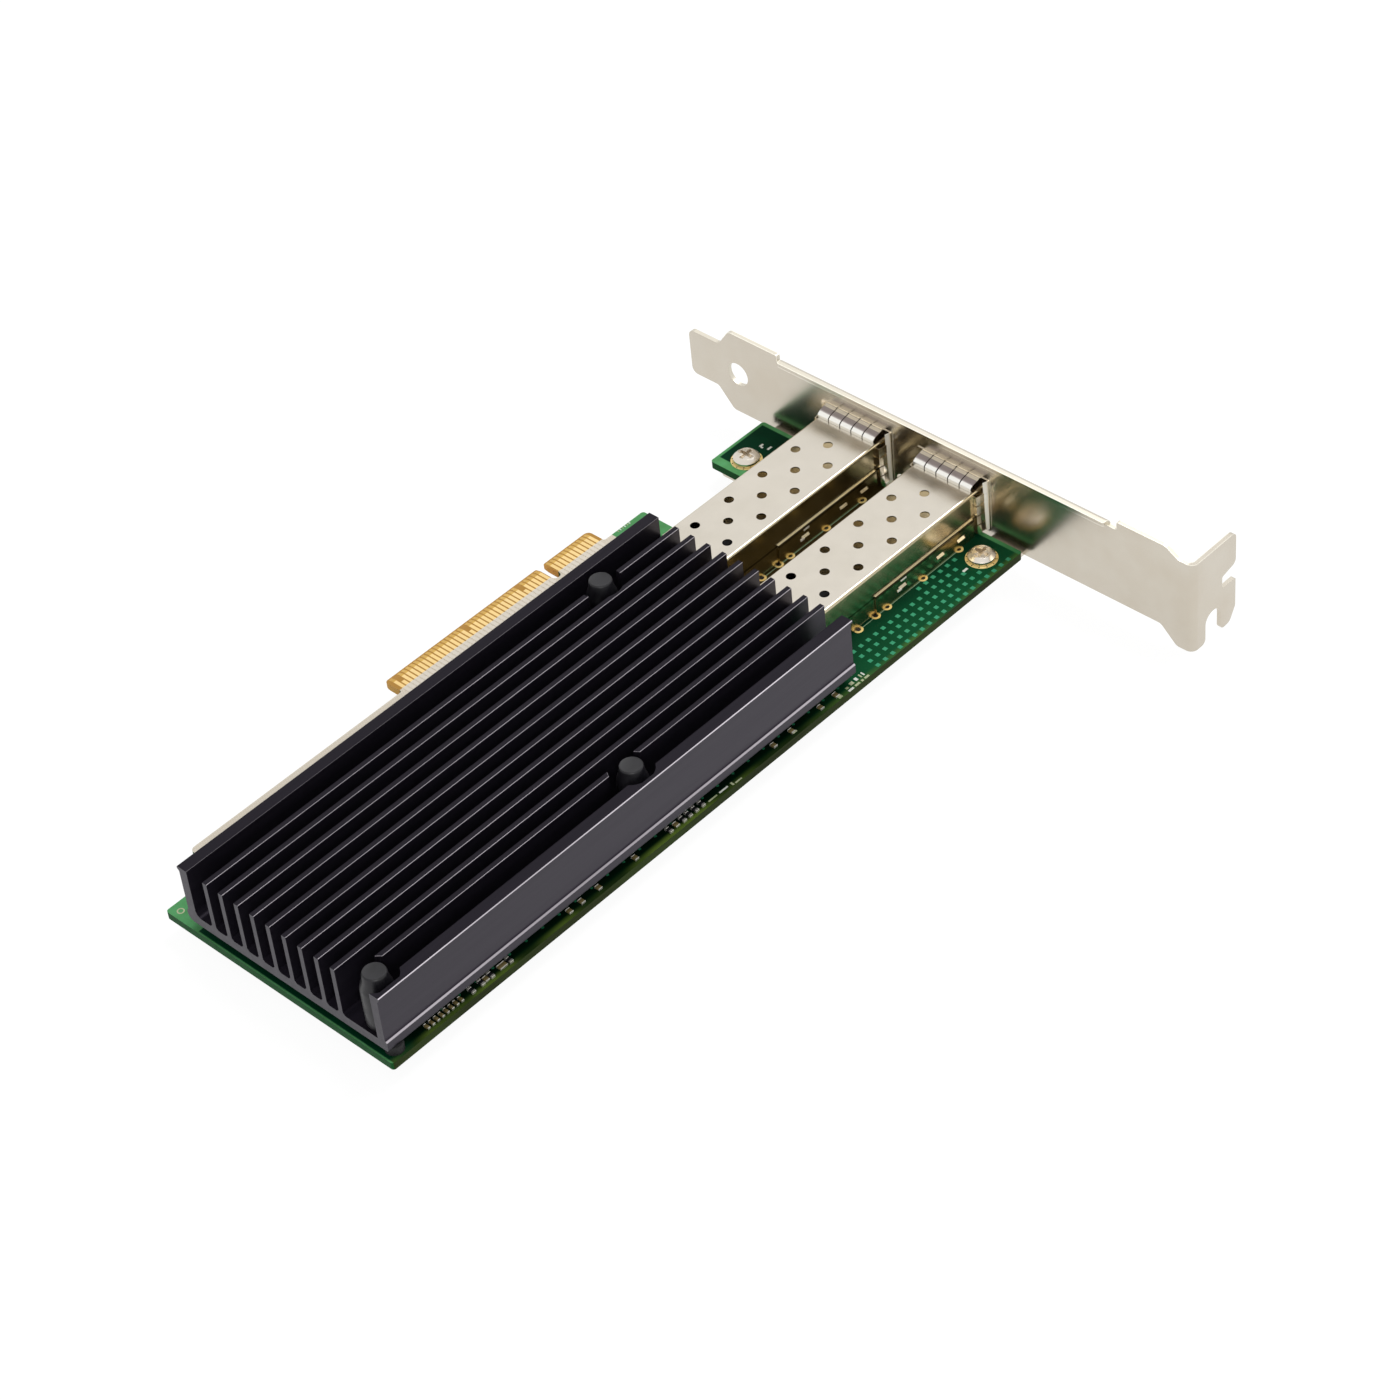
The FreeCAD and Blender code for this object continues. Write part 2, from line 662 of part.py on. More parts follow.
def cage_base(side):
    """Floor of the cage folded up outside the cover, with windows for its tabs and for a module's latch."""
    y0, y1 = cage_sides(side)
    t = CAGE_SHEET
    z0 = above(CAGE_FOOT_GAP)
    top = above(BASE_WALL)
    lip_low = top - BASE_LIP_HEIGHT
    near, outer = LAP_GAP, LAP_GAP + t
    lip = outer + BASE_LIP
    x0, x1 = along(BASE_WALL_START), along(BASE_WALL_END)
    low, high = above(LATCH_HEIGHT - LATCH_SLACK), above(LATCH_HEIGHT + LATCH_SIZE + LATCH_SLACK)
    half = LATCH_LENGTH / 2 + LATCH_SLACK
    parts = [box(along(CAGE_FRONT), x1, y0, y1, z0, z0 + t)]
    windows = []
    for wall, out in ((y0, -1), (y1, 1)):
        steps = [(outer, z0), (outer, lip_low), (lip, lip_low), (lip, top), (near, top), (near, z0 + t),
                 (-t, z0 + t), (-t, z0)]
        parts.append(plate_yz([(wall + out * reach, z, 0) for reach, z in steps], x0, x1))
        side_a, side_b = sorted((wall, wall + out * 2 * outer))
        windows += [box(along(a) - half, along(a) + half, side_a, side_b, low, high) for a in LATCH_PLACES]
    for y, places in cage_pin_rows(side)[2:]:
        parts += cage_pins(y, places, z0 + t)
    middle = across(CAGE_PLACES[side])
    x = along(CAGE_FRONT + MODULE_WINDOW_START)
    half = MODULE_WINDOW_WIDTH / 2
    windows.append(box(x, x + MODULE_WINDOW_LENGTH, middle - half, middle + half, z0 - t, z0 + 2 * t))
    return joined(parts).cut(windows)


def finger(x_root, root_height, width, curl_r):
    """One collar finger lying along X: slopes down from the rim and curls onto the cage at its end."""
    t, end = COLLAR_SHEET, along(FINGER_END)
    bend_x = along(FINGER_KNEE)
    bend_z = (root_height + FINGER_CURL) / 2 + FINGER_BOW
    tip = FINGER_TIP_GAP
    upper = [(x_root, root_height, 0), (bend_x, bend_z, 0), (end, FINGER_CURL, curl_r), (end, tip, 0)]
    under = [(end - t, tip, 0), (end - t, FINGER_CURL - t, max(curl_r - t, 0)),
             (bend_x - t / 2, bend_z - t, 0), (x_root, root_height - t, 0)]
    wire = outline(upper + under, lambda p: V(p.x, -width / 2, p.y))
    return Part.Face(wire).extrude(V(0, width, 0))


def spring_collar(side):
    """Gasket round the cage mouth: a band, a rim against the bracket, and sprung fingers behind the rim."""
    y0, y1 = cage_sides(side)
    z0, z1 = above(CAGE_FOOT_GAP), above(CAGE_HEIGHT)
    t, r = COLLAR_SHEET, CAGE_EDGE_R
    rim_front = BRACKET_IN + RIM_GAP
    rim_back = rim_front + t
    front = rim_front - COLLAR_BAND
    outside = [(y0 - t, z0 - t, 0), (y1 + t, z0 - t, 0), (y1 + t, z1 + t, r + t), (y0 - t, z1 + t, r + t)]
    band = plate_yz(outside, front, rim_back)
    low, high = z0 - RIM_BOTTOM - t, z1 + RIM_TOP
    left, right = y0 - RIM_MARGIN, y1 + RIM_MARGIN
    rim = plate_yz([(left, low, 0), (right, low, 0), (right, high, RIM_CORNER), (left, high, RIM_CORNER)],
                   rim_front, rim_back)
    hole = plate_yz([(y0, z0, 0), (y1, z0, 0), (y1, z1, r), (y0, z1, r)], front - 1, rim_back + 1)
    collar = joined([band, rim]).cut(hole)
    pieces = [collar]
    pitch = (CAGE_WIDTH - r) / TOP_FINGERS
    for i in range(TOP_FINGERS):
        one = finger(rim_back - t / 2, TOP_FINGER_ROOT, pitch - FINGER_SLIT, FINGER_CURL_R)
        one.translate(V(0, y0 + (i + 0.5) * pitch, z1))
        pieces.append(one)
    rise = (CAGE_HEIGHT - r - SIDE_FINGER_START - CAGE_FOOT_GAP) / SIDE_FINGERS
    for wall, turn in ((y0, 90), (y1, -90)):
        for i in range(SIDE_FINGERS):
            one = finger(rim_back - t / 2, SIDE_FINGER_ROOT, rise - FINGER_SLIT, 0)
            one.rotate(V(0, 0, 0), V(1, 0, 0), turn)
            one.translate(V(0, wall, z0 + SIDE_FINGER_START + (i + 0.5) * rise))
            pieces.append(one)
    return joined(pieces)


def module_connector(side):
    """Surface-mount socket at the back of a cage, with the slot that takes a module's card edge."""
    middle = across(CAGE_PLACES[side])
    x1 = along(CAGE_REAR - PLUG_FROM_CAGE_REAR)
    x0 = x1 - PLUG_LENGTH
    z0 = above(TAIL_THICK)
    half = PLUG_WIDTH / 2
    top, r = z0 + PLUG_HEIGHT, PLUG_EDGE_R
    corners = [(x0, z0 + PLUG_TOE, r), (x0 + PLUG_TOE, z0, 0), (x1, z0, 0), (x1, top - PLUG_HEEL_DROP, r),
               (x1 - PLUG_HEEL_LENGTH, top, r), (x0, top, r)]
    body = plate_xz(corners, middle - half, middle + half)
    slot_half = half - PLUG_SLOT_WALL
    slot = box(x0 - 1, x0 + PLUG_SLOT_DEPTH, middle - slot_half, middle + slot_half,
               z0 + PLUG_SLOT_RISE, z0 + PLUG_SLOT_RISE + PLUG_SLOT_HEIGHT)
    return body.cut(slot)


def connector_tails(side):
    """Soldered feet along the back and the front underside of a socket."""
    middle = across(CAGE_PLACES[side])
    x1 = along(CAGE_REAR - PLUG_FROM_CAGE_REAR)
    half = TAIL_WIDTH / 2
    tails = []
    for row_x in (x1 - TAIL_LENGTH, x1 - PLUG_LENGTH + FRONT_TAIL_INSET):
        for i in range(TAIL_COUNT):
            y = middle + (i - (TAIL_COUNT - 1) / 2) * TAIL_PITCH
            tails.append(box(row_x, row_x + TAIL_LENGTH, y - half, y + half, TOP, above(TAIL_THICK)))
    return tails


# ---- heat sink and what holds it ----

def sink_profile():
    """Cross-section of the extrusion: base, two lipped walls and the row of fins between them."""
    left, right = across(SINK_LEFT), across(SINK_LEFT + SINK_WIDTH)
    low, base_top = above(SINK_LIFT), above(BASE_TOP)
    high = above(SINK_LIFT + SINK_HEIGHT)
    lip = WALL_LIP
    inner = lip + WALL_THICK
    shelf = low + FOOT_LIP_RISE
    lip_low = high - WALL_LIP_HEIGHT
    corners = [
        (left, low, LEFT_FOOT_R),
        (right, low, RIGHT_FOOT_R),
        (right, shelf, 0),
        (right - lip, shelf + FOOT_LIP_SLOPE, LIP_ROOT_R),
        (right - lip, lip_low, LIP_ROOT_R),
        (right, lip_low + WALL_LIP_SLOPE, 0),
        (right, high, TOP_EDGE_R),
        (right - inner, high, 0),
        (right - inner, base_top, INNER_ROOT_R),
    ]
    first = across(SINK_CENTRE) - FIN_PITCH * (FIN_COUNT - 1) / 2
    half, root = FIN_THICK / 2, FIN_ROOT_BEVEL
    for i in reversed(range(FIN_COUNT)):
        middle = first + i * FIN_PITCH
        corners += [(middle + half + root, base_top, 0), (middle + half, base_top + root, 0),
                    (middle + half, high, 0), (middle - half, high, 0),
                    (middle - half, base_top + root, 0), (middle - half - root, base_top, 0)]
    corners += [
        (left + inner, base_top, INNER_ROOT_R),
        (left + inner, high, 0),
        (left, high, TOP_EDGE_R),
        (left, lip_low + WALL_LIP_SLOPE, 0),
        (left + lip, lip_low, LIP_ROOT_R),
        (left + lip, shelf + FOOT_LIP_SLOPE, LIP_ROOT_R),
        (left, shelf, 0),
    ]
    return corners


def pocket(x, y):
    """Room milled to the base round a push pin: it leaves some of the wall, and opens past the near end."""
    low, high = above(BASE_TOP), above(SINK_LIFT + SINK_HEIGHT) + 1
    middle, rear = across(SINK_CENTRE), along(SINK_REAR)
    keep = SINK_WIDTH / 2 - WALL_LIP - POCKET_WALL_LEFT
    room = post(x, y, low, high, POCKET_R)
    if rear - x < POCKET_R:
        y0, y1 = max(y - POCKET_R, middle - SINK_INNER), min(y + POCKET_R, middle + SINK_INNER)
        room = room.fuse(box(x, rear + 1, y0, y1, low, high))
    return room.common(box(x - POCKET_R, rear + 1, middle - keep, middle + keep, low, high))


def heatsink():
    """Extruded heat sink, with a milled pocket and a bore at each push pin."""
    body = plate_yz(sink_profile(), along(SINK_FRONT), along(SINK_REAR))
    pockets = [pocket(x, y) for x, y in pin_points()]
    bores = [post(x, y, above(SINK_LIFT) - 1, above(BASE_TOP) + 1, PIN_HOLE_R) for x, y in pin_points()]
    return body.cut(pockets + bores)


def push_pin(x, y):
    """Moulded push pin: cap with a long skirt over the spring, shank, and a barb under the board."""
    top = above(PIN_TOP)
    shoulder = top - PIN_CAP_TAPER
    skirt_end = above(BASE_TOP) + PIN_SKIRT_GAP
    inside = shoulder - SPRING_SEAT
    tip = BOTTOM - BARB_LENGTH
    barb = BOTTOM - BARB_GAP
    pin = turned([
        (0, tip), (BARB_TIP_R, tip), (BARB_R, barb), (PIN_SHANK_R, barb), (PIN_SHANK_R, inside),
        (SPRING_BORE_R, inside), (SPRING_BORE_R, skirt_end), (PIN_SKIRT_R, skirt_end),
        (PIN_SKIRT_R, shoulder), (PIN_CAP_R, top - PIN_CAP_EASE), (PIN_CAP_R - PIN_CAP_EASE, top), (0, top),
    ])
    pin.translate(V(x, y, 0))
    return pin


def pin_spring(x, y):
    """Flat-wire coil spring between the heat sink's base and the underside of the pin's cap."""
    low = above(BASE_TOP) + SPRING_WIRE / 2
    high = above(PIN_TOP) - PIN_CAP_TAPER - SPRING_SEAT - SPRING_WIRE / 2
    coil_r = (PIN_SHANK_R + SPRING_BORE_R) / 2
    helix = Part.makeHelix((high - low) / SPRING_TURNS, high - low, coil_r)
    half = SPRING_WIRE / 2
    inner, outer = coil_r - half, coil_r + half
    corners = [V(inner, 0, -half), V(outer, 0, -half), V(outer, 0, half), V(inner, 0, half)]
    section = Part.makePolygon(corners + corners[:1])
    coil = Part.Wire(helix.Edges).makePipeShell([section], True, True)
    coil.translate(V(x, y, low))
    return coil


def spacer(a, b):
    """Round rubber spacer between the board and the heat sink near a corner."""
    return small_post(along(a), across(b), TOP, above(SINK_LIFT), SPACER_R, 16)


# ---- parts on the board ----

def package(place, size, base=0.0):
    """Moulded package centred at a place on the component side, its top edges eased."""
    (a, b), (length, width, height) = place, size
    x, y, z0, z1 = along(a), across(b), above(base), above(base + height)
    body = box(x - length / 2, x + length / 2, y - width / 2, y + width / 2, z0, z1)
    upper = [edge for edge in body.Edges if all(abs(v.Z - z1) < 1e-6 for v in edge.Vertexes)]
    return body.makeChamfer(CHIP_EASE, upper)


def controller():
    """Ball-grid controller: laminate carrier with its moulded cap."""
    carrier = package(CONTROLLER_PLACE, (CARRIER_SIZE, CARRIER_SIZE, CARRIER_THICK))
    cap = package(CONTROLLER_PLACE, (CAP_SIZE, CAP_SIZE, CAP_THICK), CARRIER_THICK)
    return joined([carrier, cap])


def thermal_pad():
    """Soft pad that fills the gap between the controller's cap and the heat sink."""
    a, b = CONTROLLER_PLACE
    x, y = along(a), across(b)
    half = CAP_SIZE / 2 - PAD_MARGIN
    return box(x - half, x + half, y - half, y + half, above(CARRIER_THICK + CAP_THICK), above(SINK_LIFT))


def two_rows(span, count, size, under=False):
    """Equal two-terminal parts in two rows, one along each long side of a square round the controller."""
    middle_a, middle_b = CONTROLLER_PLACE
    length, width, height = size
    z0, z1 = (BOTTOM - height, BOTTOM) if under else (TOP, TOP + height)
    parts = []
    for b in (middle_b - span / 2, middle_b + span / 2):
        y = across(b)
        for i in range(count):
            x = along(middle_a - span / 2 + i * span / (count - 1))
            parts.append(box(x - length / 2, x + length / 2, y - width / 2, y + width / 2, z0, z1))
    return parts


def status_light(b):
    """Side-looking light at the front edge of the board, behind its hole in the bracket."""
    length, width, height = LED_SIZE
    x, y = along(LED_SETBACK), across(b)
    return box(x, x + length, y - width / 2, y + width / 2, TOP, above(height))


def main():
    os.makedirs("parts", exist_ok=True)
    save("circuit_board", circuit_board())
    save("edge_contacts_top", contacts(1, SHORT_CONTACTS_TOP))
    save("edge_contacts_bottom", contacts(-1, SHORT_CONTACTS_BOTTOM))
    save("bracket", bracket())
    save("bracket_screws", [bracket_screw(x, y) for x, y in screw_points()])
    for side in CAGE_PLACES:
        save("cage_cover_" + side, cage_cover(side))
        save("cage_base_" + side, cage_base(side))
        save("spring_collar_" + side, spring_collar(side))
        save("module_connector_" + side, module_connector(side))
        save("connector_tails_" + side, connector_tails(side))
    save("heatsink", heatsink())
    save("push_pins", [push_pin(x, y) for x, y in pin_points()])
    save("pin_springs", [pin_spring(x, y) for x, y in pin_points()])
    save("corner_spacers", [spacer(a, b) for a, b in SPACER_PLACES])
    save("controller_chip", controller())
    save("thermal_pad", thermal_pad())
    save("memory_chips", [package(place, MEMORY_SIZE) for place in MEMORY_PLACES])
    save("regulator_chips", [package(place, REGULATOR_SIZE) for place in REGULATOR_PLACES])
    save("power_inductors", [package(place, INDUCTOR_SIZE) for place in INDUCTOR_PLACES])
    save("clock_crystal", [package(place, CRYSTAL_SIZE) for place in CRYSTAL_PLACES])
    save("status_lights", [status_light(b) for b in LED_PLACES])
    save("ceramic_capacitors", two_rows(CERAMIC_SPAN, CERAMIC_ROW, CERAMIC_SIZE))
    save("board_resistors", two_rows(RESISTOR_SPAN, RESISTOR_ROW, RESISTOR_SIZE))
    save("underside_capacitors", two_rows(UNDERSIDE_SPAN, UNDERSIDE_ROW, UNDERSIDE_SIZE, under=True))


main()
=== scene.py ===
"""Network interface card: finishes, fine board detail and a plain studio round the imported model.

Every length is in metres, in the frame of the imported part: X runs along the board from the bracket to its rear
end, Y across it from the contact tongue to the far edge, Z up. The origin is at the key notch, level with the
tongue's tip and halfway through the board.
"""
import math

import bmesh
import bpy
from bpy.props import FloatProperty, FloatVectorProperty, PointerProperty
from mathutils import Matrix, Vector


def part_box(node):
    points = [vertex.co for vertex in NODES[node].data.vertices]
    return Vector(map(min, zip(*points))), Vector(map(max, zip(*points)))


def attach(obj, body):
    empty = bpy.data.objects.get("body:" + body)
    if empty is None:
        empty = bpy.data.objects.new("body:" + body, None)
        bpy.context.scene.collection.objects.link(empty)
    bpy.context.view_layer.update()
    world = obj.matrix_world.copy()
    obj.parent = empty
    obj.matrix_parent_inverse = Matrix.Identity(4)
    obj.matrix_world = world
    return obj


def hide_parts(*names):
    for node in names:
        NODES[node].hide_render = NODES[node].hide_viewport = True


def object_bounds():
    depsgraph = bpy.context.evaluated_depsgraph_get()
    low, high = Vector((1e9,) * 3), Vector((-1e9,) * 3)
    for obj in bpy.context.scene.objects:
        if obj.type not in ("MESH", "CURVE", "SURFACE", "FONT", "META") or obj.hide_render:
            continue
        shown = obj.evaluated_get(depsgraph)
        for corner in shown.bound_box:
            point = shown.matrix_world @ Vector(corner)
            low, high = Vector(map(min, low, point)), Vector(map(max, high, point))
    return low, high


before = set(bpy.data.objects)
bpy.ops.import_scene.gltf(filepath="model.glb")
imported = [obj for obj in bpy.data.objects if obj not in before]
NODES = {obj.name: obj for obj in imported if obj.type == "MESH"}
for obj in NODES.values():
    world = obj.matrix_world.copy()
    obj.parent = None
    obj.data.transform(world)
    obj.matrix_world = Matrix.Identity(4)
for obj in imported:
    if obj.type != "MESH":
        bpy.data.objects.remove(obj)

bl_info = {
    "name": "Network interface card",
    "version": (1, 0, 0),
    "blender": (4, 5, 0),
    "location": "3D View > Sidebar > Network Card",
    "description": "Finishes a network interface card and sets it in a plain studio",
    "category": "Object",
}

MM = 0.001
CAD_BOX = [list(corner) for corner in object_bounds()]
BOARD_LOW, BOARD_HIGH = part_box("circuit_board")
TOP = BOARD_HIGH.z
UNDER = BOARD_LOW.z
FACES = ((TOP, 1), (UNDER, -1))  # the board's two faces, each with the way out of it along Z
CONTACTS = ("edge_contacts_top", "edge_contacts_bottom")
SIDES = ("left", "right")
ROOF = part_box("cage_cover_left")[1].z  # the top of both cages
TONGUE = 4.55 * MM  # how far the contact tongue reaches beyond the board's edge
SKIN = 0.03 * MM  # how far covered copper, print and plating stand out of a face
WELD = 0.001 * MM  # corners of a CAD mesh nearer together than this are one
ROUNDED = math.radians(32)  # edges of a CAD mesh sharper than this are rounded


def tone(red, green, blue):
    """A colour written as three numbers from 0 to 255, as the linear light that a shader takes."""
    scaled = [part / 255 for part in (red, green, blue)]
    return tuple(s / 12.92 if s <= 0.04045 else ((s + 0.055) / 1.055) ** 2.4 for s in scaled) + (1.0,)


def on_board(along, across):
    """A point of the upper face, given in millimetres from the board's front end and from its tongue-side edge."""
    return Vector((BOARD_LOW.x + along * MM, BOARD_LOW.y + TONGUE + across * MM, TOP))


def along_x(along):
    """The X of a place in millimetres from the board's front end."""
    return on_board(along, 0).x


def across_y(across):
    """The Y of a place in millimetres from the board's tongue-side edge."""
    return on_board(0, across).y


COAT = across_y(-0.6)  # where the pale coat beside the contacts ends on the tongue


def solids(node):
    """The boxes of a CAD node's separate solids as pairs of corners, in the order of their Y and then their X."""
    mesh = NODES[node].data
    steps = 1e7  # in a metre; points that round to the same step are one
    parent = {}

    def root(key):
        while parent[key] != key:
            parent[key] = parent[parent[key]]
            key = parent[key]
        return key

    keys = [tuple(round(part * steps) for part in vertex.co) for vertex in mesh.vertices]
    for key in keys:
        parent.setdefault(key, key)
    for face in mesh.polygons:
        first = root(keys[face.vertices[0]])
        for index in face.vertices[1:]:
            parent[root(keys[index])] = first
    groups = {}
    for key, vertex in zip(keys, mesh.vertices):
        groups.setdefault(root(key), []).append(vertex.co)
    boxes = []
    for group in groups.values():
        low = Vector([min(point[i] for point in group) for i in range(3)])
        high = Vector([max(point[i] for point in group) for i in range(3)])
        boxes.append((low, high))
    return sorted(boxes, key=lambda pair: (round(pair[0].y, 5), round(pair[0].x, 5)))


# ---- meshes ----


class Shape:
    """A mesh in the making, to which closed solids are added one after another."""

    def __init__(self):
        self.mesh = bmesh.new()

    def loft(self, sections, finish=0, closed=True):
        """Joins sections of equally many points with four-sided faces, and closes the two ends."""
        rings = [[self.mesh.verts.new(point) for point in section] for section in sections]
        faces = []
        for lower, upper in zip(rings, rings[1:]):
            for i in range(len(lower)):
                j = (i + 1) % len(lower)
                faces.append(self.mesh.faces.new((lower[i], lower[j], upper[j], upper[i])))
        if closed:
            faces.append(self.mesh.faces.new(rings[0][::-1]))
            faces.append(self.mesh.faces.new(rings[-1]))
        for face in faces:
            face.material_index = finish
        return rings

    def block(self, low, high, edge=0.0, finish=0):
        """A box whose upright corners and top edges are cut back by edge."""
        x0, y0, z0 = low
        x1, y1, z1 = high
        if edge <= 0:
            corners = ((x0, y0), (x1, y0), (x1, y1), (x0, y1))
            self.loft([[(x, y, level) for x, y in corners] for level in (z0, z1)], finish)
            return
        sections = []
        for inset, level in ((0, z0), (0, z1 - edge), (edge, z1)):
            a0, b0, a1, b1 = x0 + inset, y0 + inset, x1 - inset, y1 - inset
            corners = (
                (a0 + edge, b0), (a1 - edge, b0), (a1, b0 + edge), (a1, b1 - edge),
                (a1 - edge, b1), (a0 + edge, b1), (a0, b1 - edge), (a0, b0 + edge),
            )
            sections.append([(x, y, level) for x, y in corners])
        self.loft(sections, finish)

    def slab(self, centre, long, wide, low, high, edge=0.0, finish=0):
        """A block about a middle point, long in X and wide in Y."""
        x, y = centre[0], centre[1]
        self.block((x - long / 2, y - wide / 2, low), (x + long / 2, y + wide / 2, high), edge, finish)

    def turned(self, centre, profile, sides=20, finish=0, closed=True):
        """A solid of revolution about an upright axis; profile lists (radius, height) from one end to the other."""
        turns = [2 * math.pi * i / sides for i in range(sides)]
        sections = []
        for radius, level in profile:
            sections.append([
                (centre[0] + radius * math.cos(turn), centre[1] + radius * math.sin(turn), level) for turn in turns
            ])
        return self.loft(sections, finish, closed)

    def ring(self, centre, inner, outer, low, high, sides=24, finish=0):
        """A flat washer with an upright bore."""
        rings = self.turned(centre, ((inner, low), (outer, low), (outer, high), (inner, high)), sides, finish, False)
        for i in range(sides):
            j = (i + 1) % sides
            self.mesh.faces.new((rings[3][i], rings[3][j], rings[0][j], rings[0][i])).material_index = finish

    def ribbon(self, points, width, low, high):
        """A flat track of one width along a line of points, with mitred corners."""
        line = [Vector(point[:2]) for point in points]
        sections = []
        for i, point in enumerate(line):
            before = (point - line[i - 1]).normalized() if i else None
            after = (line[i + 1] - point).normalized() if i + 1 < len(line) else None
            heading = before or after
            if before and after:
                heading = (before + after).normalized()
            side = Vector((-heading.y, heading.x))
            spread = width / 2
            if before and after:
                spread /= max(0.5, side.dot(Vector((-before.y, before.x))))  # a mitre at most twice the width
            left, right = point + side * spread, point - side * spread
            sections.append((
                (left.x, left.y, low), (left.x, left.y, high), (right.x, right.y, high), (right.x, right.y, low),
            ))
        self.loft(sections)

    def piece(self, name, slot, finishes, smooth=0):
        """The finished object, riding on the card's one body; smooth is the bend in degrees that shows as an edge."""
        bmesh.ops.recalc_face_normals(self.mesh, faces=self.mesh.faces)
        data = bpy.data.meshes.new(name)
        self.mesh.to_mesh(data)
        self.mesh.free()
        for finish in finishes:
            data.materials.append(finish)
        if smooth:
            for face in data.polygons:
                face.use_smooth = True
            data.set_sharp_from_angle(angle=math.radians(smooth))
        made = bpy.data.objects.new(name, data)
        bpy.context.scene.collection.objects.link(made)
        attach(made, "root")
        return made


# ---- finishes ----


class Tree:
    """A tree of nodes, with a short call for each kind that a finish and the studio share."""

    def __init__(self, tree):
        self.tree = tree

    def node(self, kind, inputs=None, **settings):
        """A new node with its settings and with values or links on its inputs."""
        made = self.tree.nodes.new(kind)
        for name, value in settings.items():
            setattr(made, name, value)
        for socket, value in (inputs or {}).items():
            self.feed(made.inputs[socket], value)
        return made

    def feed(self, socket, value):
        if isinstance(value, bpy.types.NodeSocket):
            self.tree.links.new(value, socket)
        else:
            socket.default_value = value

    def calc(self, operation, first, second=0.0):
        return self.node("ShaderNodeMath", {0: first, 1: second}, operation=operation).outputs[0]

    def times(self, first, second):
        return self.calc("MULTIPLY", first, second)

    def larger(self, first, second):
        return self.calc("MAXIMUM", first, second)

    def seen(self):
        """1 for rays that see a surface directly, in a reflection or through glass, and 0 for light."""
        path = self.node("ShaderNodeLightPath").outputs
        direct = self.larger(path["Is Camera Ray"], path["Is Glossy Ray"])
        return self.larger(direct, path["Is Transmission Ray"])


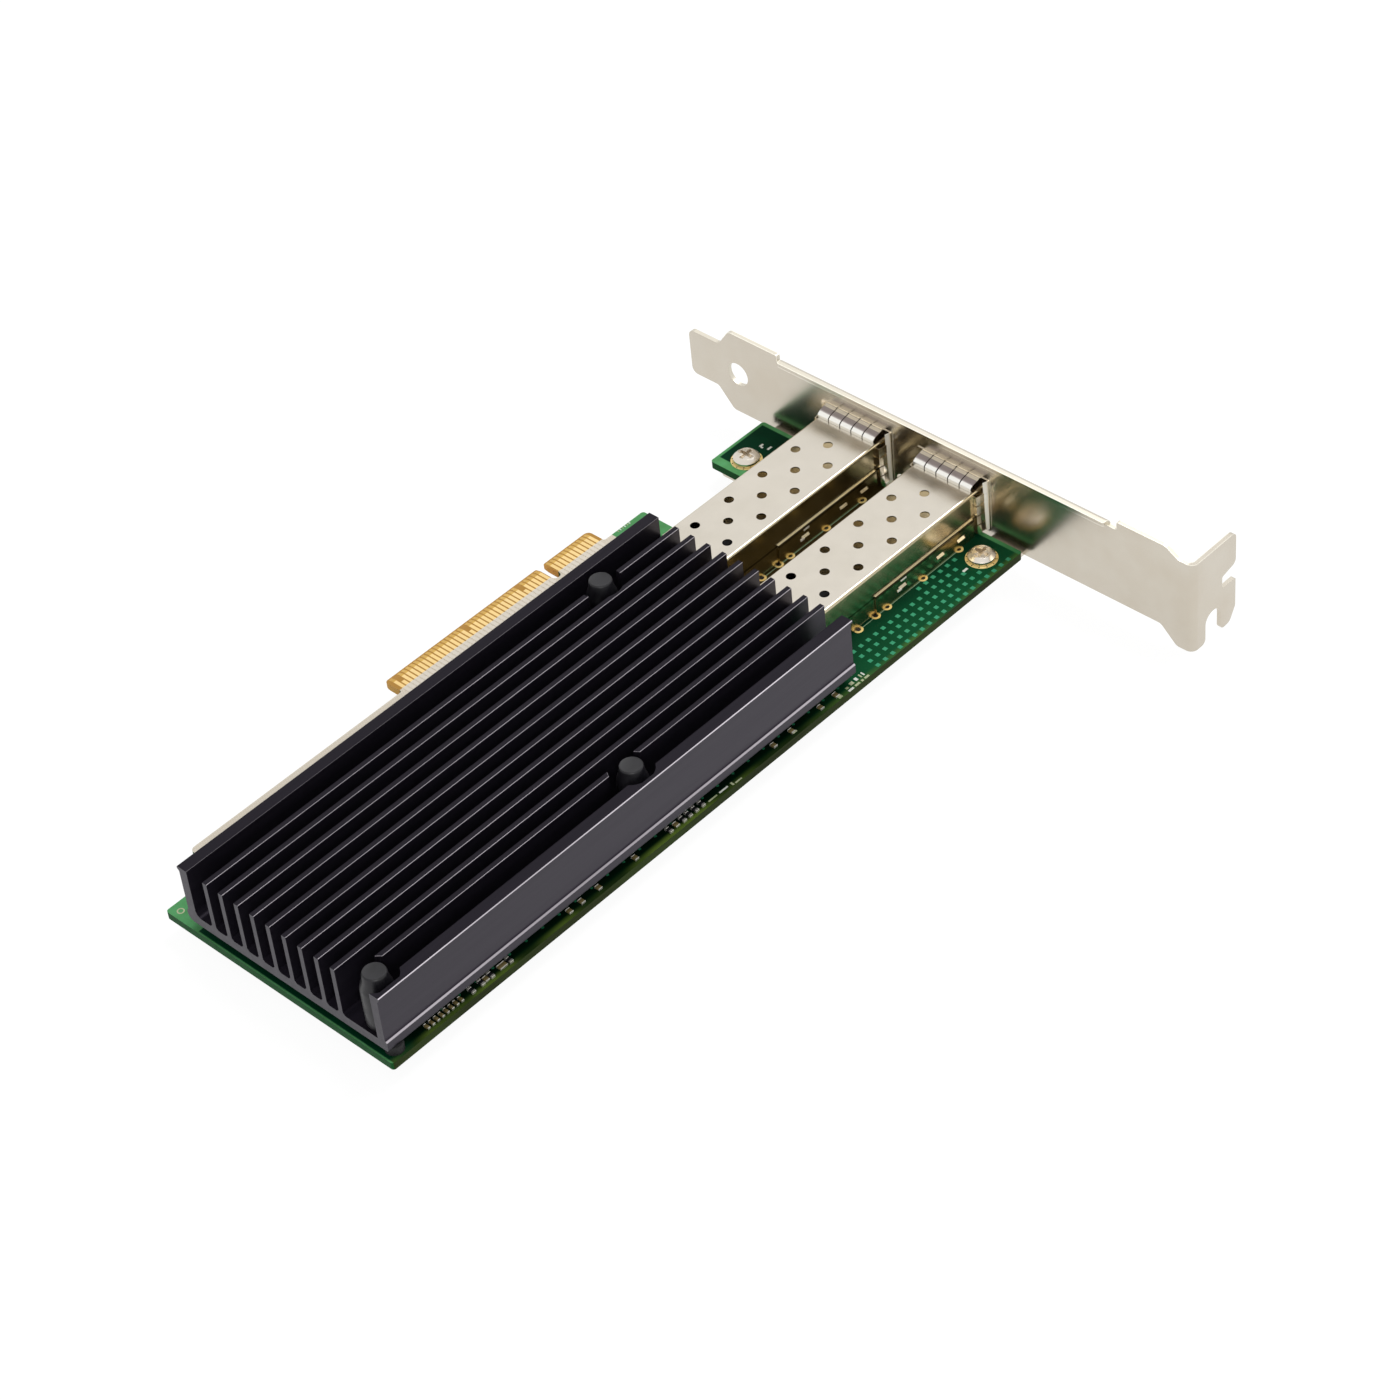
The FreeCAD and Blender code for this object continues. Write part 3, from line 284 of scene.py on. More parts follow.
class Finish(Tree):
    """A material of nodes round one shader."""

    def __init__(self, name, **values):
        self.material = bpy.data.materials.new(name)
        self.material.use_nodes = True
        super().__init__(self.material.node_tree)
        self.shader = self.tree.nodes["Principled BSDF"]
        for label, value in values.items():
            self.shader.inputs[label.replace("_", " ")].default_value = value
        self.place = self.node("ShaderNodeTexCoord").outputs["Object"]

    def colour(self, value):
        self.feed(self.shader.inputs["Base Color"], value)

    def rough(self, value):
        self.feed(self.shader.inputs["Roughness"], value)

    def coated(self, share):
        """Bare metal where share is 0, and no metal where it is 1."""
        self.feed(self.shader.inputs["Metallic"], self.calc("SUBTRACT", 1.0, share))

    def bump(self, height, depth):
        made = self.node("ShaderNodeBump", {"Height": height, "Distance": depth})
        self.feed(self.shader.inputs["Normal"], made.outputs[0])

    def noise(self, size, detail=3.0, stretch=(1, 1, 1)):
        """Soft blotches about as wide as size, and wider along an axis whose stretch is under 1."""
        spread = self.node("ShaderNodeMapping", {"Vector": self.place, "Scale": stretch}).outputs[0]
        inputs = {"Vector": spread, "Scale": 1 / size, "Detail": detail}
        return self.node("ShaderNodeTexNoise", inputs).outputs[0]

    def remap(self, value, low, high, to_low=0.0, to_high=1.0):
        inputs = {"Value": value, "From Min": low, "From Max": high, "To Min": to_low, "To Max": to_high}
        return self.node("ShaderNodeMapRange", inputs, interpolation_type="SMOOTHSTEP").outputs[0]

    def mottle(self, blotches, first, second, start=0.3, end=0.7):
        """One colour that turns into another as the blotches rise from start to end."""
        made = self.node("ShaderNodeValToRGB", {0: blotches})
        for point, position, shade in zip(made.color_ramp.elements, (start, end), (first, second)):
            point.position = position
            point.color = shade
        return made.outputs[0]

    def blend(self, factor, first, second):
        inputs = {0: factor, 6: first, 7: second}
        return self.node("ShaderNodeMix", inputs, data_type="RGBA").outputs[2]

    def axis(self, letter):
        """How far along an axis a point lies."""
        return self.node("ShaderNodeSeparateXYZ", {0: self.place}).outputs[letter]

    def heading(self, letter):
        """How far the surface faces along an axis, from -1 to 1."""
        normal = self.node("ShaderNodeNewGeometry").outputs["Normal"]
        return self.node("ShaderNodeSeparateXYZ", {0: normal}).outputs[letter]

    def level(self):
        """1 on faces that look up or down, 0 on walls."""
        return self.calc("ABSOLUTE", self.heading("Z"))

    def upright(self):
        """1 on walls, 0 on faces that look up or down."""
        return self.remap(self.level(), 0.3, 0.7, 1.0, 0.0)

    def band(self, value, low, high, soft=0.05 * MM):
        """1 between low and high, and 0 outside, with a soft edge."""
        rise = self.remap(value, low - soft, low + soft)
        return self.times(rise, self.remap(value, high - soft, high + soft, 1.0, 0.0))

    def zone(self, start, end, near, far, soft=0.05 * MM):
        """1 above and below a rectangle of the board, given in millimetres along and across it."""
        lengthwise = self.band(self.axis("X"), along_x(start), along_x(end), soft)
        return self.times(lengthwise, self.band(self.axis("Y"), across_y(near), across_y(far), soft))

    def rounded(self, radius):
        """The way the surface would face if its edges were rounded."""
        return self.node("ShaderNodeBevel", {"Radius": radius}, samples=8).outputs[0]

    def edges(self, radius):
        """1 along sharp edges, fading to 0 at about radius from them, where the two normals' cosine nears 1."""
        flat = self.node("ShaderNodeNewGeometry").outputs["True Normal"]
        alike = self.node("ShaderNodeVectorMath", {0: self.rounded(radius), 1: flat}, operation="DOT_PRODUCT")
        return self.remap(alike.outputs["Value"], 0.8, 0.99, 1.0, 0.0)

    def crests(self, radius):
        """1 along edges between an upward face and one towards the board's far edge, fading over radius."""
        parts = self.node("ShaderNodeSeparateXYZ", {0: self.rounded(radius)}).outputs
        return self.remap(self.calc("MINIMUM", parts["Y"], parts["Z"]), 0.15, 0.5)


def dress(node, finish, edge=0.0, segments=2):
    """Gives a CAD node its finish, and a fine rounding of its edges where edge is set."""
    target = NODES[node]
    for slot in target.material_slots:
        slot.material = finish
    if edge:
        weld = target.modifiers.new("weld", "WELD")
        weld.merge_threshold = WELD
        bevel = target.modifiers.new("rounded edges", "BEVEL")
        bevel.width = edge
        bevel.segments = segments
        bevel.limit_method = "ANGLE"
        bevel.angle_limit = ROUNDED
        bevel.harden_normals = True


def lacquer(name, base, lighter):
    """Green solder mask over copper or laminate, with the slight orange peel of a cured coat."""
    made = Finish(name, Specular_IOR_Level=0.1, IOR=1.5)
    made.colour(made.mottle(made.noise(3 * MM, 4), base, lighter, end=0.75))
    made.rough(made.remap(made.noise(1.2 * MM), 0.3, 0.7, 0.22, 0.36))
    made.bump(made.noise(0.35 * MM, 2), 0.02 * MM)
    return made.material


def plated(name, base, darker, rough, grain=0.6 * MM, depth=0.0008 * MM, metallic=1.0):
    """Bare or plated metal: slightly uneven in colour and gloss, with a fine surface grain."""
    made = Finish(name, Metallic=metallic)
    made.colour(made.mottle(made.noise(6 * MM, 4), darker, base))
    made.rough(made.remap(made.noise(grain * 4, 3), 0.25, 0.75, rough * 0.9, rough * 1.12))
    made.bump(made.noise(grain, 2), depth)
    return made.material


def moulded(name, base, lighter, rough, grain=0.2 * MM, depth=0.01 * MM):
    """Moulded resin, rubber or ceramic with a fine matt grain."""
    made = Finish(name, Specular_IOR_Level=0.4)
    made.colour(made.mottle(made.noise(grain * 6, 4), base, lighter))
    made.rough(made.remap(made.noise(grain * 3), 0.3, 0.7, rough - 0.07, rough + 0.07))
    made.bump(made.noise(grain, 3), depth)
    return made.material


# ---- what a user may change ----

COLOUR = {"subtype": "COLOR", "size": 4, "min": 0, "max": 1}
LENGTH = {"subtype": "DISTANCE", "unit": "LENGTH"}
POWER = {"subtype": "POWER", "unit": "POWER", "min": 0}


class CardBoardSettings(bpy.types.PropertyGroup):
    """Colours and copper detail of the circuit board."""

    mask: FloatVectorProperty(
        name="Solder mask", description="Mask over the copper planes", default=tone(3, 47, 29), **COLOUR)
    mask_edge: FloatVectorProperty(
        name="Mask over laminate", description="Paler mask along the edges, where there is no copper",
        default=tone(84, 148, 90), **COLOUR)
    copper: FloatVectorProperty(
        name="Covered copper", description="Mask over raised tracks and squares", default=tone(62, 148, 110), **COLOUR)
    laminate: FloatVectorProperty(
        name="Laminate", description="Cut edge of the glass laminate", default=tone(34, 42, 18), **COLOUR)
    bare: FloatVectorProperty(
        name="Bare strip", description="Unmasked strip beside the contacts", default=tone(232, 223, 208), **COLOUR)
    tongue: FloatVectorProperty(
        name="Tongue", description="Laminate between the contacts", default=tone(188, 142, 74), **COLOUR)
    gold: FloatVectorProperty(
        name="Gold", description="Plated contacts and rings", default=tone(246, 217, 156), **COLOUR)
    ring_inner: FloatProperty(
        name="Pin ring bore", description="Bore radius of the rings round the cage pins", default=0.5 * MM, **LENGTH)
    ring_outer: FloatProperty(
        name="Pin ring", description="Outer radius of the rings round the cage pins", default=0.95 * MM, **LENGTH)
    screw_pad: FloatProperty(
        name="Screw pad", description="Outer radius of the gold pads under the screws", default=3.05 * MM, **LENGTH)
    square: FloatProperty(
        name="Copper square", description="Side of the balancing squares", default=0.8 * MM, **LENGTH)
    square_pitch: FloatProperty(
        name="Square spacing", description="Spacing of the balancing squares", default=2.0 * MM, **LENGTH)
    track: FloatProperty(
        name="Track width", description="Width of the signal tracks", default=0.2 * MM, **LENGTH)


class CardMetalSettings(bpy.types.PropertyGroup):
    """Colours of the metal and moulded parts."""

    steel: FloatVectorProperty(
        name="Bracket", description="Plated bracket steel", default=tone(206, 199, 186), **COLOUR)
    cage: FloatVectorProperty(
        name="Cages", description="Nickel silver of the module cages", default=tone(216, 209, 197), **COLOUR)
    spring: FloatVectorProperty(
        name="Springs", description="Sprung collars round the cages' mouths", default=tone(244, 236, 220), **COLOUR)
    screw: FloatVectorProperty(
        name="Screws", description="Bright screw steel", default=tone(224, 217, 206), **COLOUR)
    sink: FloatVectorProperty(
        name="Heat sink", description="Black anodising", default=tone(21, 19, 25), **COLOUR)
    # the colour of the painted highlight along the heat sink's edges, which stands for light caught by rounded edges
    edge: FloatVectorProperty(
        name="Heat sink edges", description="Thin anodising along the cut edges", default=tone(250, 242, 250),
        **COLOUR)
    resin: FloatVectorProperty(
        name="Chip resin", description="Moulded chip bodies", default=tone(28, 28, 30), **COLOUR)


class CardStudioSettings(bpy.types.PropertyGroup):
    """Lamps and surroundings."""

    sky: FloatProperty(
        name="Room light", description="Even light from all round", default=0.5, min=0, soft_max=2)
    key: FloatProperty(
        name="Key lamp", description="Power of the lamp over the bracket", default=6.4, **POWER)
    front: FloatProperty(
        name="Front lamp", description="Power of the soft lamp in front of the card", default=3.0, **POWER)
    key_size: FloatProperty(
        name="Lamp size", description="Side of each lamp", default=0.55, min=0.05, **LENGTH)
    floor_white: FloatProperty(
        name="Floor white", description="Share of the floor's white that shadows leave", default=0.93, min=0, max=1)
    floor_size: FloatProperty(
        name="Floor", description="Side of the floor", default=6.0, min=1, **LENGTH)


# ---- pieces ----


class CARD_OT_board(bpy.types.Operator):
    """Finish the laminate, its mask and the gold contacts"""

    bl_idname = "card.board"
    bl_label = "Board finish"

    def execute(self, context):
        want = context.scene.card_board
        made = Finish("board laminate", Specular_IOR_Level=0.03)
        tip = made.remap(made.axis("Y"), COAT, COAT + 0.1 * MM, 1.0, 0.0)
        face = made.blend(tip, self.masked(made, want), want.tongue)
        wall = made.blend(tip, self.cut_edge(made, want), tone(238, 186, 104))
        made.colour(made.blend(made.upright(), face, wall))
        made.rough(made.remap(made.noise(1.5 * MM), 0.3, 0.7, 0.3, 0.42))
        made.bump(made.noise(0.5 * MM, 2), 0.006 * MM)
        dress("circuit_board", made.material)
        gold = self.contacts(want)
        for node in CONTACTS:
            dress(node, gold)
        self.tips(plated("tip gold", tone(222, 184, 104), tone(202, 160, 80), 0.34, 0.4 * MM, 0.0008 * MM))
        return {"FINISHED"}

    def masked(self, made, want):
        """Dark mask over the copper planes, paler mask round them, and the bare strip beside the contacts."""
        mask = made.mottle(made.noise(5 * MM, 5), want.mask, tone(5, 59, 36), end=0.8)
        rim = made.mottle(made.noise(2 * MM, 3), want.mask_edge, tone(96, 168, 112), end=0.8)
        planes = 0.0
        for area in ((0.9, 12.9, 0.6, 64.0), (0.9, 158.7, 15.9, 64.0), (42.0, 154.4, 2.6, 64.0)):
            planes = made.larger(planes, made.zone(*area, 0.15 * MM))
        # painted shade: the mask between the cages is darkened to brown where the cages' shade falls, on both faces
        painted_shade_between_cages = made.zone(-2, 44, 29, 39.6, 0.8 * MM)
        mask = made.blend(painted_shade_between_cages, mask, tone(56, 47, 24))
        # painted shade: the mask beside the heat sink is darkened almost to black where the sink's shade falls
        painted_shade_beside_sink = made.zone(47, 154, 57, 66, 1.5 * MM)
        mask = made.blend(painted_shade_beside_sink, mask, tone(3, 26, 12))
        patches = made.remap(made.noise(22 * MM, 2, (1, 0.02, 0.02)), 0.4, 0.6, 0.1, 0.85)
        moss = made.times(made.remap(made.axis("Y"), across_y(61.9), across_y(63.1)), patches)
        mask = made.blend(moss, mask, tone(92, 114, 44))
        face = made.blend(planes, rim, mask)
        corner = made.times(
            made.remap(made.axis("Y"), across_y(52), across_y(63)),
            made.remap(made.axis("X"), along_x(60), along_x(40)))
        face = made.blend(made.times(corner, 0.5), face, tone(20, 92, 52))
        weave = made.node("ShaderNodeTexBrick", {
            "Vector": made.place, "Scale": 1.0, "Color1": want.bare, "Color2": tone(226, 217, 200),
            "Mortar": tone(218, 208, 190), "Mortar Size": 0.06 * MM, "Brick Width": 0.5 * MM, "Row Height": 0.5 * MM,
        }).outputs[0]
        return made.blend(made.zone(41.8, 146.6, -0.6, 2.4), face, weave)

    def cut_edge(self, made, want):
        """The laminate's layers, mossy in places, with a green coat on the rear end."""
        layers = made.noise(0.35 * MM, 2, (0.02, 0.02, 1))
        wall = made.mottle(layers, want.laminate, tone(46, 56, 24), 0.35, 0.6)
        moss = made.remap(made.noise(26 * MM, 1, (1, 0.02, 0.02)), 0.42, 0.6)
        wall = made.blend(moss, wall, tone(50, 64, 28))
        return made.blend(made.remap(made.heading("X"), 0.4, 0.7), wall, tone(26, 82, 40))

    def contacts(self, want):
        """Gold plating, bare on the tongue and under the pale coat of the strip beyond it."""
        lengthwise = (1, 0.2, 1)
        made = Finish("contact gold")
        coat = made.remap(made.axis("Y"), COAT, COAT + 0.1 * MM)
        plating = made.mottle(made.noise(6 * MM, 4, lengthwise), tone(240, 206, 138), want.gold)
        made.colour(made.blend(coat, plating, want.bare))
        made.coated(coat)
        made.rough(made.remap(made.noise(1.6 * MM, 3, lengthwise), 0.25, 0.75, 0.27, 0.34))
        made.bump(made.noise(0.4 * MM, 2, lengthwise), 0.0008 * MM)
        return made.material

    def tips(self, gold):
        """The plating that runs on from each full-length contact over the tongue's bevel."""
        tips = Shape()
        for node, (level, out) in zip(CONTACTS, FACES):
            pads = solids(node)
            full_length = min(low.y for low, high in pads) + 0.1 * MM
            for low, high in pads:
                if low.y > full_length:
                    continue
                sections = []
                for y, drop in ((0.35, 0.245), (1.3, 0.0), (1.68, 0.0)):
                    place = BOARD_LOW.y + y * MM
                    skin = level - out * drop * MM
                    sections.append((
                        (low.x, place, skin - out * SKIN), (low.x, place, skin + out * SKIN),
                        (high.x, place, skin + out * SKIN), (high.x, place, skin - out * SKIN),
                    ))
                tips.loft(sections)
        tips.piece("contact_tips", "gold", [gold])


class CARD_OT_copper(bpy.types.Operator):
    """Lay the balancing squares, tracks and vias on both faces"""

    bl_idname = "card.copper"
    bl_label = "Copper under the mask"

    def execute(self, context):
        want = context.scene.card_board
        raised = lacquer("mask over copper", want.copper, tone(56, 158, 116))
        self.squares(want, raised)
        self.tracks(want, raised)
        self.vias()
        return {"FINISHED"}

    def squares(self, want, raised):
        """The rows of squares that even out the copper beside the right cage, on both faces."""
        grid = Shape()
        screw, clear = on_board(5.7, 58.5), 4.0 * MM
        rows = [(54.95, 9.1, 19.2)] + [(across, 3.1, 39.3) for across in (56.85, 58.75, 60.75, 62.55)]
        for across, first, last in rows:
            for step in range(int((last - first) * MM / want.square_pitch) + 1):
                centre = on_board(first, across) + Vector((step * want.square_pitch, 0, 0))
                if (centre - screw).length < clear:
                    continue
                for level in (TOP, UNDER):
                    grid.slab(centre, want.square, want.square, level - SKIN, level + SKIN)
        grid.piece("copper_squares", "laminate", [raised])

    def tracks(self, want, raised):
        """Lanes from the contacts and from the module sockets to the controller, on both faces."""
        chip_low, chip_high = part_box("controller_chip")
        middle = (chip_low + chip_high) / 2
        start, spacing = across_y(2.8), 0.42 * MM
        first_lane, middle_lane = 12, 18
        for name, node, level in zip(("tracks_top", "tracks_under"), CONTACTS, (TOP, UNDER)):
            lanes = Shape()
            low, high = level - SKIN, level + SKIN
            contacts = sorted((pair[0].x + pair[1].x) / 2 for pair in solids(node))
            for index, x in enumerate(contacts[first_lane:]):
                if index % 3 == 2:
                    continue
                goal = middle.x + (index - middle_lane) * spacing
                turn = start + (2.2 + 0.12 * abs(index - middle_lane)) * MM
                slant = turn + abs(goal - x)
                end = max(chip_low.y - 1.5 * MM, slant + 0.6 * MM)
                lanes.ribbon([(x, start), (x, turn), (goal, slant), (goal, end)], want.track, low, high)
            for side, away in zip(SIDES, (-1, 1)):
                tail_low, tail_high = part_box("connector_tails_" + side)
                for index in range(8):
                    y = tail_low.y + (0.6 + index * 0.85) * MM
                    goal = middle.y + away * (1.5 + index * 0.8) * MM
                    turn = tail_high.x + (4 + index * 0.5) * MM
                    line = [(tail_high.x + MM, y), (turn, y), (turn + abs(goal - y), goal), (chip_low.x - MM, goal)]
                    lanes.ribbon(line, want.track, low, high)
            lanes.piece(name, "laminate", [raised])

    def vias(self):
        """Small tented vias: a raised rim with a dimple, in fields round the chips and along the planes' edges."""
        tin = lacquer("mask over vias", tone(30, 110, 72), tone(60, 150, 110))
        field = Shape()
        places = [(94.9 + step * 1.6, 27.5 + other * 1.4) for step in range(15) for other in range(15)]
        for step in range(26):
            places += [(39.0 + step * 4.1, 4.6), (48.0 + step * 3.9, 60.9)]
        places += [(2.0, 9.5 + step * 0.7) for step in range(8)]
        profile = ((0.3, -1), (0.3, 1), (0.2, 1.6), (0.1, 0.2))  # radius in millimetres, height in skins
        for along, across in places:
            for level, out in FACES:
                rim = [(radius * MM, level + out * skins * SKIN) for radius, skins in profile]
                field.turned(on_board(along, across), rim, 10)
        field.piece("tented_vias", "laminate", [tin], 50)


class CARD_OT_rings(bpy.types.Operator):
    """Add the gold pads under the screws and the rings round the cage pins"""

    bl_idname = "card.rings"
    bl_label = "Gold pads and rings"

    def execute(self, context):
        want = context.scene.card_board
        # partly painted light: the gold is pale and barely metallic so that the rings stay bright in the cages' shade
        gold = plated("ring gold", tone(255, 234, 164), tone(244, 206, 120), 0.32, 0.4 * MM, 0.002 * MM, metallic=0.2)
        # painted shade: black discs stand for the dark inside the open pin holes and the small vias round the screws
        hole = moulded("drilled hole", tone(12, 12, 8), tone(30, 26, 16), 0.6)
        solder = plated("solder", tone(214, 212, 206), tone(178, 176, 172), 0.3, 0.6 * MM, 0.01 * MM)
        self.screw_pads(want, [gold, hole])
        self.pin_rings(want, [gold, hole], solder)
        return {"FINISHED"}

    def disc(self, shape, centre, inner, outer, face, thick, sides):
        """A flat ring on one face of the board."""
        level, out = face
        top = level + out * thick
        shape.ring(centre, inner, outer, min(level, top), max(level, top), sides)

    def screw_pads(self, want, finishes):
        """A gold pad on both faces under each screw, with a circle of small vias."""
        pads = Shape()
        thick, bore = 0.05 * MM, 1.5 * MM
        circle, via, count = 2.8 * MM, 0.13 * MM, 12
        for low, high in solids("bracket_screws"):
            centre = (low + high) / 2
            for level, out in FACES:
                self.disc(pads, centre, bore, want.screw_pad, (level, out), thick, 48)
                for step in range(count):
                    turn = 2 * math.pi * step / count
                    spot = (centre.x + circle * math.cos(turn), centre.y + circle * math.sin(turn))
                    # painted shade: each via is a black disc on the pad
                    pads.turned(spot, ((via, level), (via, level + out * (thick + 0.012 * MM))), 10, 1)
        pads.piece("screw_pads", "gold", finishes, 40)

    def pin_rings(self, want, finishes, solder):
        """A ring on both faces round each hole of the cages' four rows, and solder under each pin."""
        rings, joints = Shape(), Shape()
        stations = (6.4, 16.45, 26.35, 29.4, 34.1)
        spare = 29.4  # a hole without a pin, beside the two rows that stand in the open
        profile = ((0.8, 0.04), (0.55, 0.16), (0.38, 0.4), (0.2, 0.58))
        joint = [(radius * MM, UNDER - drop * MM) for radius, drop in profile]
        for across, open_row in ((53.62, True), (30.37, True), (39.07, False), (15.82, False)):
            for along in stations:
                if along == spare and not open_row:
                    continue
                spot = on_board(along, across)
                for level, out in FACES:
                    self.disc(rings, spot, want.ring_inner, want.ring_outer, (level, out), 0.045 * MM, 24)
                    if open_row:
                        # painted shade: a black disc in the bore of each open ring
                        bore = ((want.ring_inner, level), (want.ring_inner, level + out * 0.02 * MM))
                        rings.turned(spot, bore, 20, 1)
                if along != spare:
                    joints.turned(spot, joint, 18)
        rings.piece("pin_rings", "gold", finishes, 40)
        joints.piece("solder_joints", "tinned_metal", [solder], 60)


class CARD_OT_print(bpy.types.Operator):
    """Add the plain white print beside the screws and the pale earth line"""

    bl_idname = "card.print"
    bl_label = "White print"

    def execute(self, context):
        self.marks()
        line = Shape()
        for across in (53.85, 30.6):
            line.ribbon([on_board(6.9, across), on_board(33.6, across)], 0.13 * MM, TOP, TOP + 0.02 * MM)
        pale = lacquer("earth line mask", tone(128, 160, 132), tone(160, 186, 152))
        line.piece("earth_lines", "laminate", [pale])
        return {"FINISHED"}

    def marks(self):
        """Short bars, outlines round the chips and the underside's small parts, and one ring."""
        ink = moulded("white print ink", tone(214, 218, 208), tone(232, 234, 226), 0.55, 0.3 * MM, 0.002 * MM)
        faded = moulded("pale print", tone(150, 160, 120), tone(190, 196, 160), 0.55, 0.3 * MM, 0.002 * MM)
        marks = Shape()
        bars = (  # along, across, length, width, and 1 where the print is faded
            (10.1, 58.3, 1.2, 0.5, 0), (5.6, 4.6, 0.9, 0.45, 0), (6.0, 5.1, 0.4, 0.5, 0), (5.3, 6.4, 1.1, 0.45, 0),
            (79.3, 62.4, 2.1, 0.35, 0), (82.0, 62.4, 2.1, 0.3, 1), (42.6, 63.0, 1.1, 0.45, 1),
            (43.8, 63.0, 0.5, 0.45, 1), (45.1, 63.0, 1.2, 0.45, 1), (46.8, 63.0, 1.3, 0.45, 0),
            (42.5, 61.9, 0.3, 0.9, 0), (43.2, 61.9, 0.3, 0.9, 1), (44.3, 61.9, 0.6, 0.8, 0),
            (45.6, 62.0, 0.9, 0.7, 1), (47.0, 62.2, 0.6, 0.5, 1), (49.4, 62.6, 0.9, 0.9, 1),
            (61.0, 62.4, 1.0, 0.4, 1), (76.0, 62.9, 1.6, 0.3, 1), (77.3, 62.6, 0.4, 0.8, 1),
        )
        bars += tuple((37.4 + 0.6 * step, 0.3, 0.25, 0.45, step % 2) for step in range(6))
        for along, across, long, wide, shade in bars:
            marks.slab(on_board(along, across), long * MM, wide * MM, TOP, TOP + SKIN, 0.0, shade)
        gap, stroke = 0.35 * MM, 0.12 * MM
        for low, high in solids("underside_capacitors") + solids("memory_chips"):
            level = (UNDER - SKIN, UNDER) if low.z < 0 else (TOP, TOP + SKIN)
            x0, x1, y0, y1 = low.x - gap, high.x + gap, low.y - gap, high.y + gap
            for line in (((x0, y0), (x1, y0)), ((x0, y1), (x1, y1)), ((x0, y0), (x0, y1)), ((x1, y0), (x1, y1))):
                marks.ribbon(line, stroke, *level)
        marks.ring(on_board(157.4, 9.9), 0.45 * MM, 0.7 * MM, TOP, TOP + SKIN, 20, 1)
        marks.piece("print_marks", "ceramic", [ink, faded])


class CARD_OT_bracket(bpy.types.Operator):
    """Finish the bracket and its screws"""

    bl_idname = "card.bracket"
    bl_label = "Bracket finish"

    def execute(self, context):
        want = context.scene.card_metal
        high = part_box("bracket")[1]
        made = Finish("bracket plating", Metallic=1.0)
        sheet = made.mottle(made.noise(9 * MM, 3), tone(200, 191, 176), want.steel)
        cut = made.remap(made.calc("ABSOLUTE", made.heading("X")), 0.1, 0.3, 1.0, 0.0)
        tab = made.remap(made.axis("Y"), high.y - 1.6 * MM, high.y - 1.0 * MM, 1.0, 0.0)
        cut = made.times(cut, tab)
        sheet = made.blend(cut, sheet, tone(212, 206, 192))
        # painted highlight: a pale cream line along the sharp edges near the top of the bracket's flange
        painted_highlight_band = made.remap(made.axis("Z"), high.z - 2.2 * MM, high.z - 1.6 * MM)
        made.colour(made.blend(made.times(made.edges(0.35 * MM), painted_highlight_band), sheet, tone(255, 252, 238)))
        wear_and_sheen = made.remap(made.noise(5 * MM), 0.25, 0.75, 0.23, 0.25)
        made.rough(made.calc("ADD", wear_and_sheen, made.times(cut, 0.2)))
        made.bump(made.noise(2.5 * MM, 1), 0.0002 * MM)
        dress("bracket", made.material)
        screw = plated("screw plating", want.screw, tone(206, 198, 186), 0.22, 0.8 * MM, 0.006 * MM)
        dress("bracket_screws", screw, 0.08 * MM, 3)
        return {"FINISHED"}


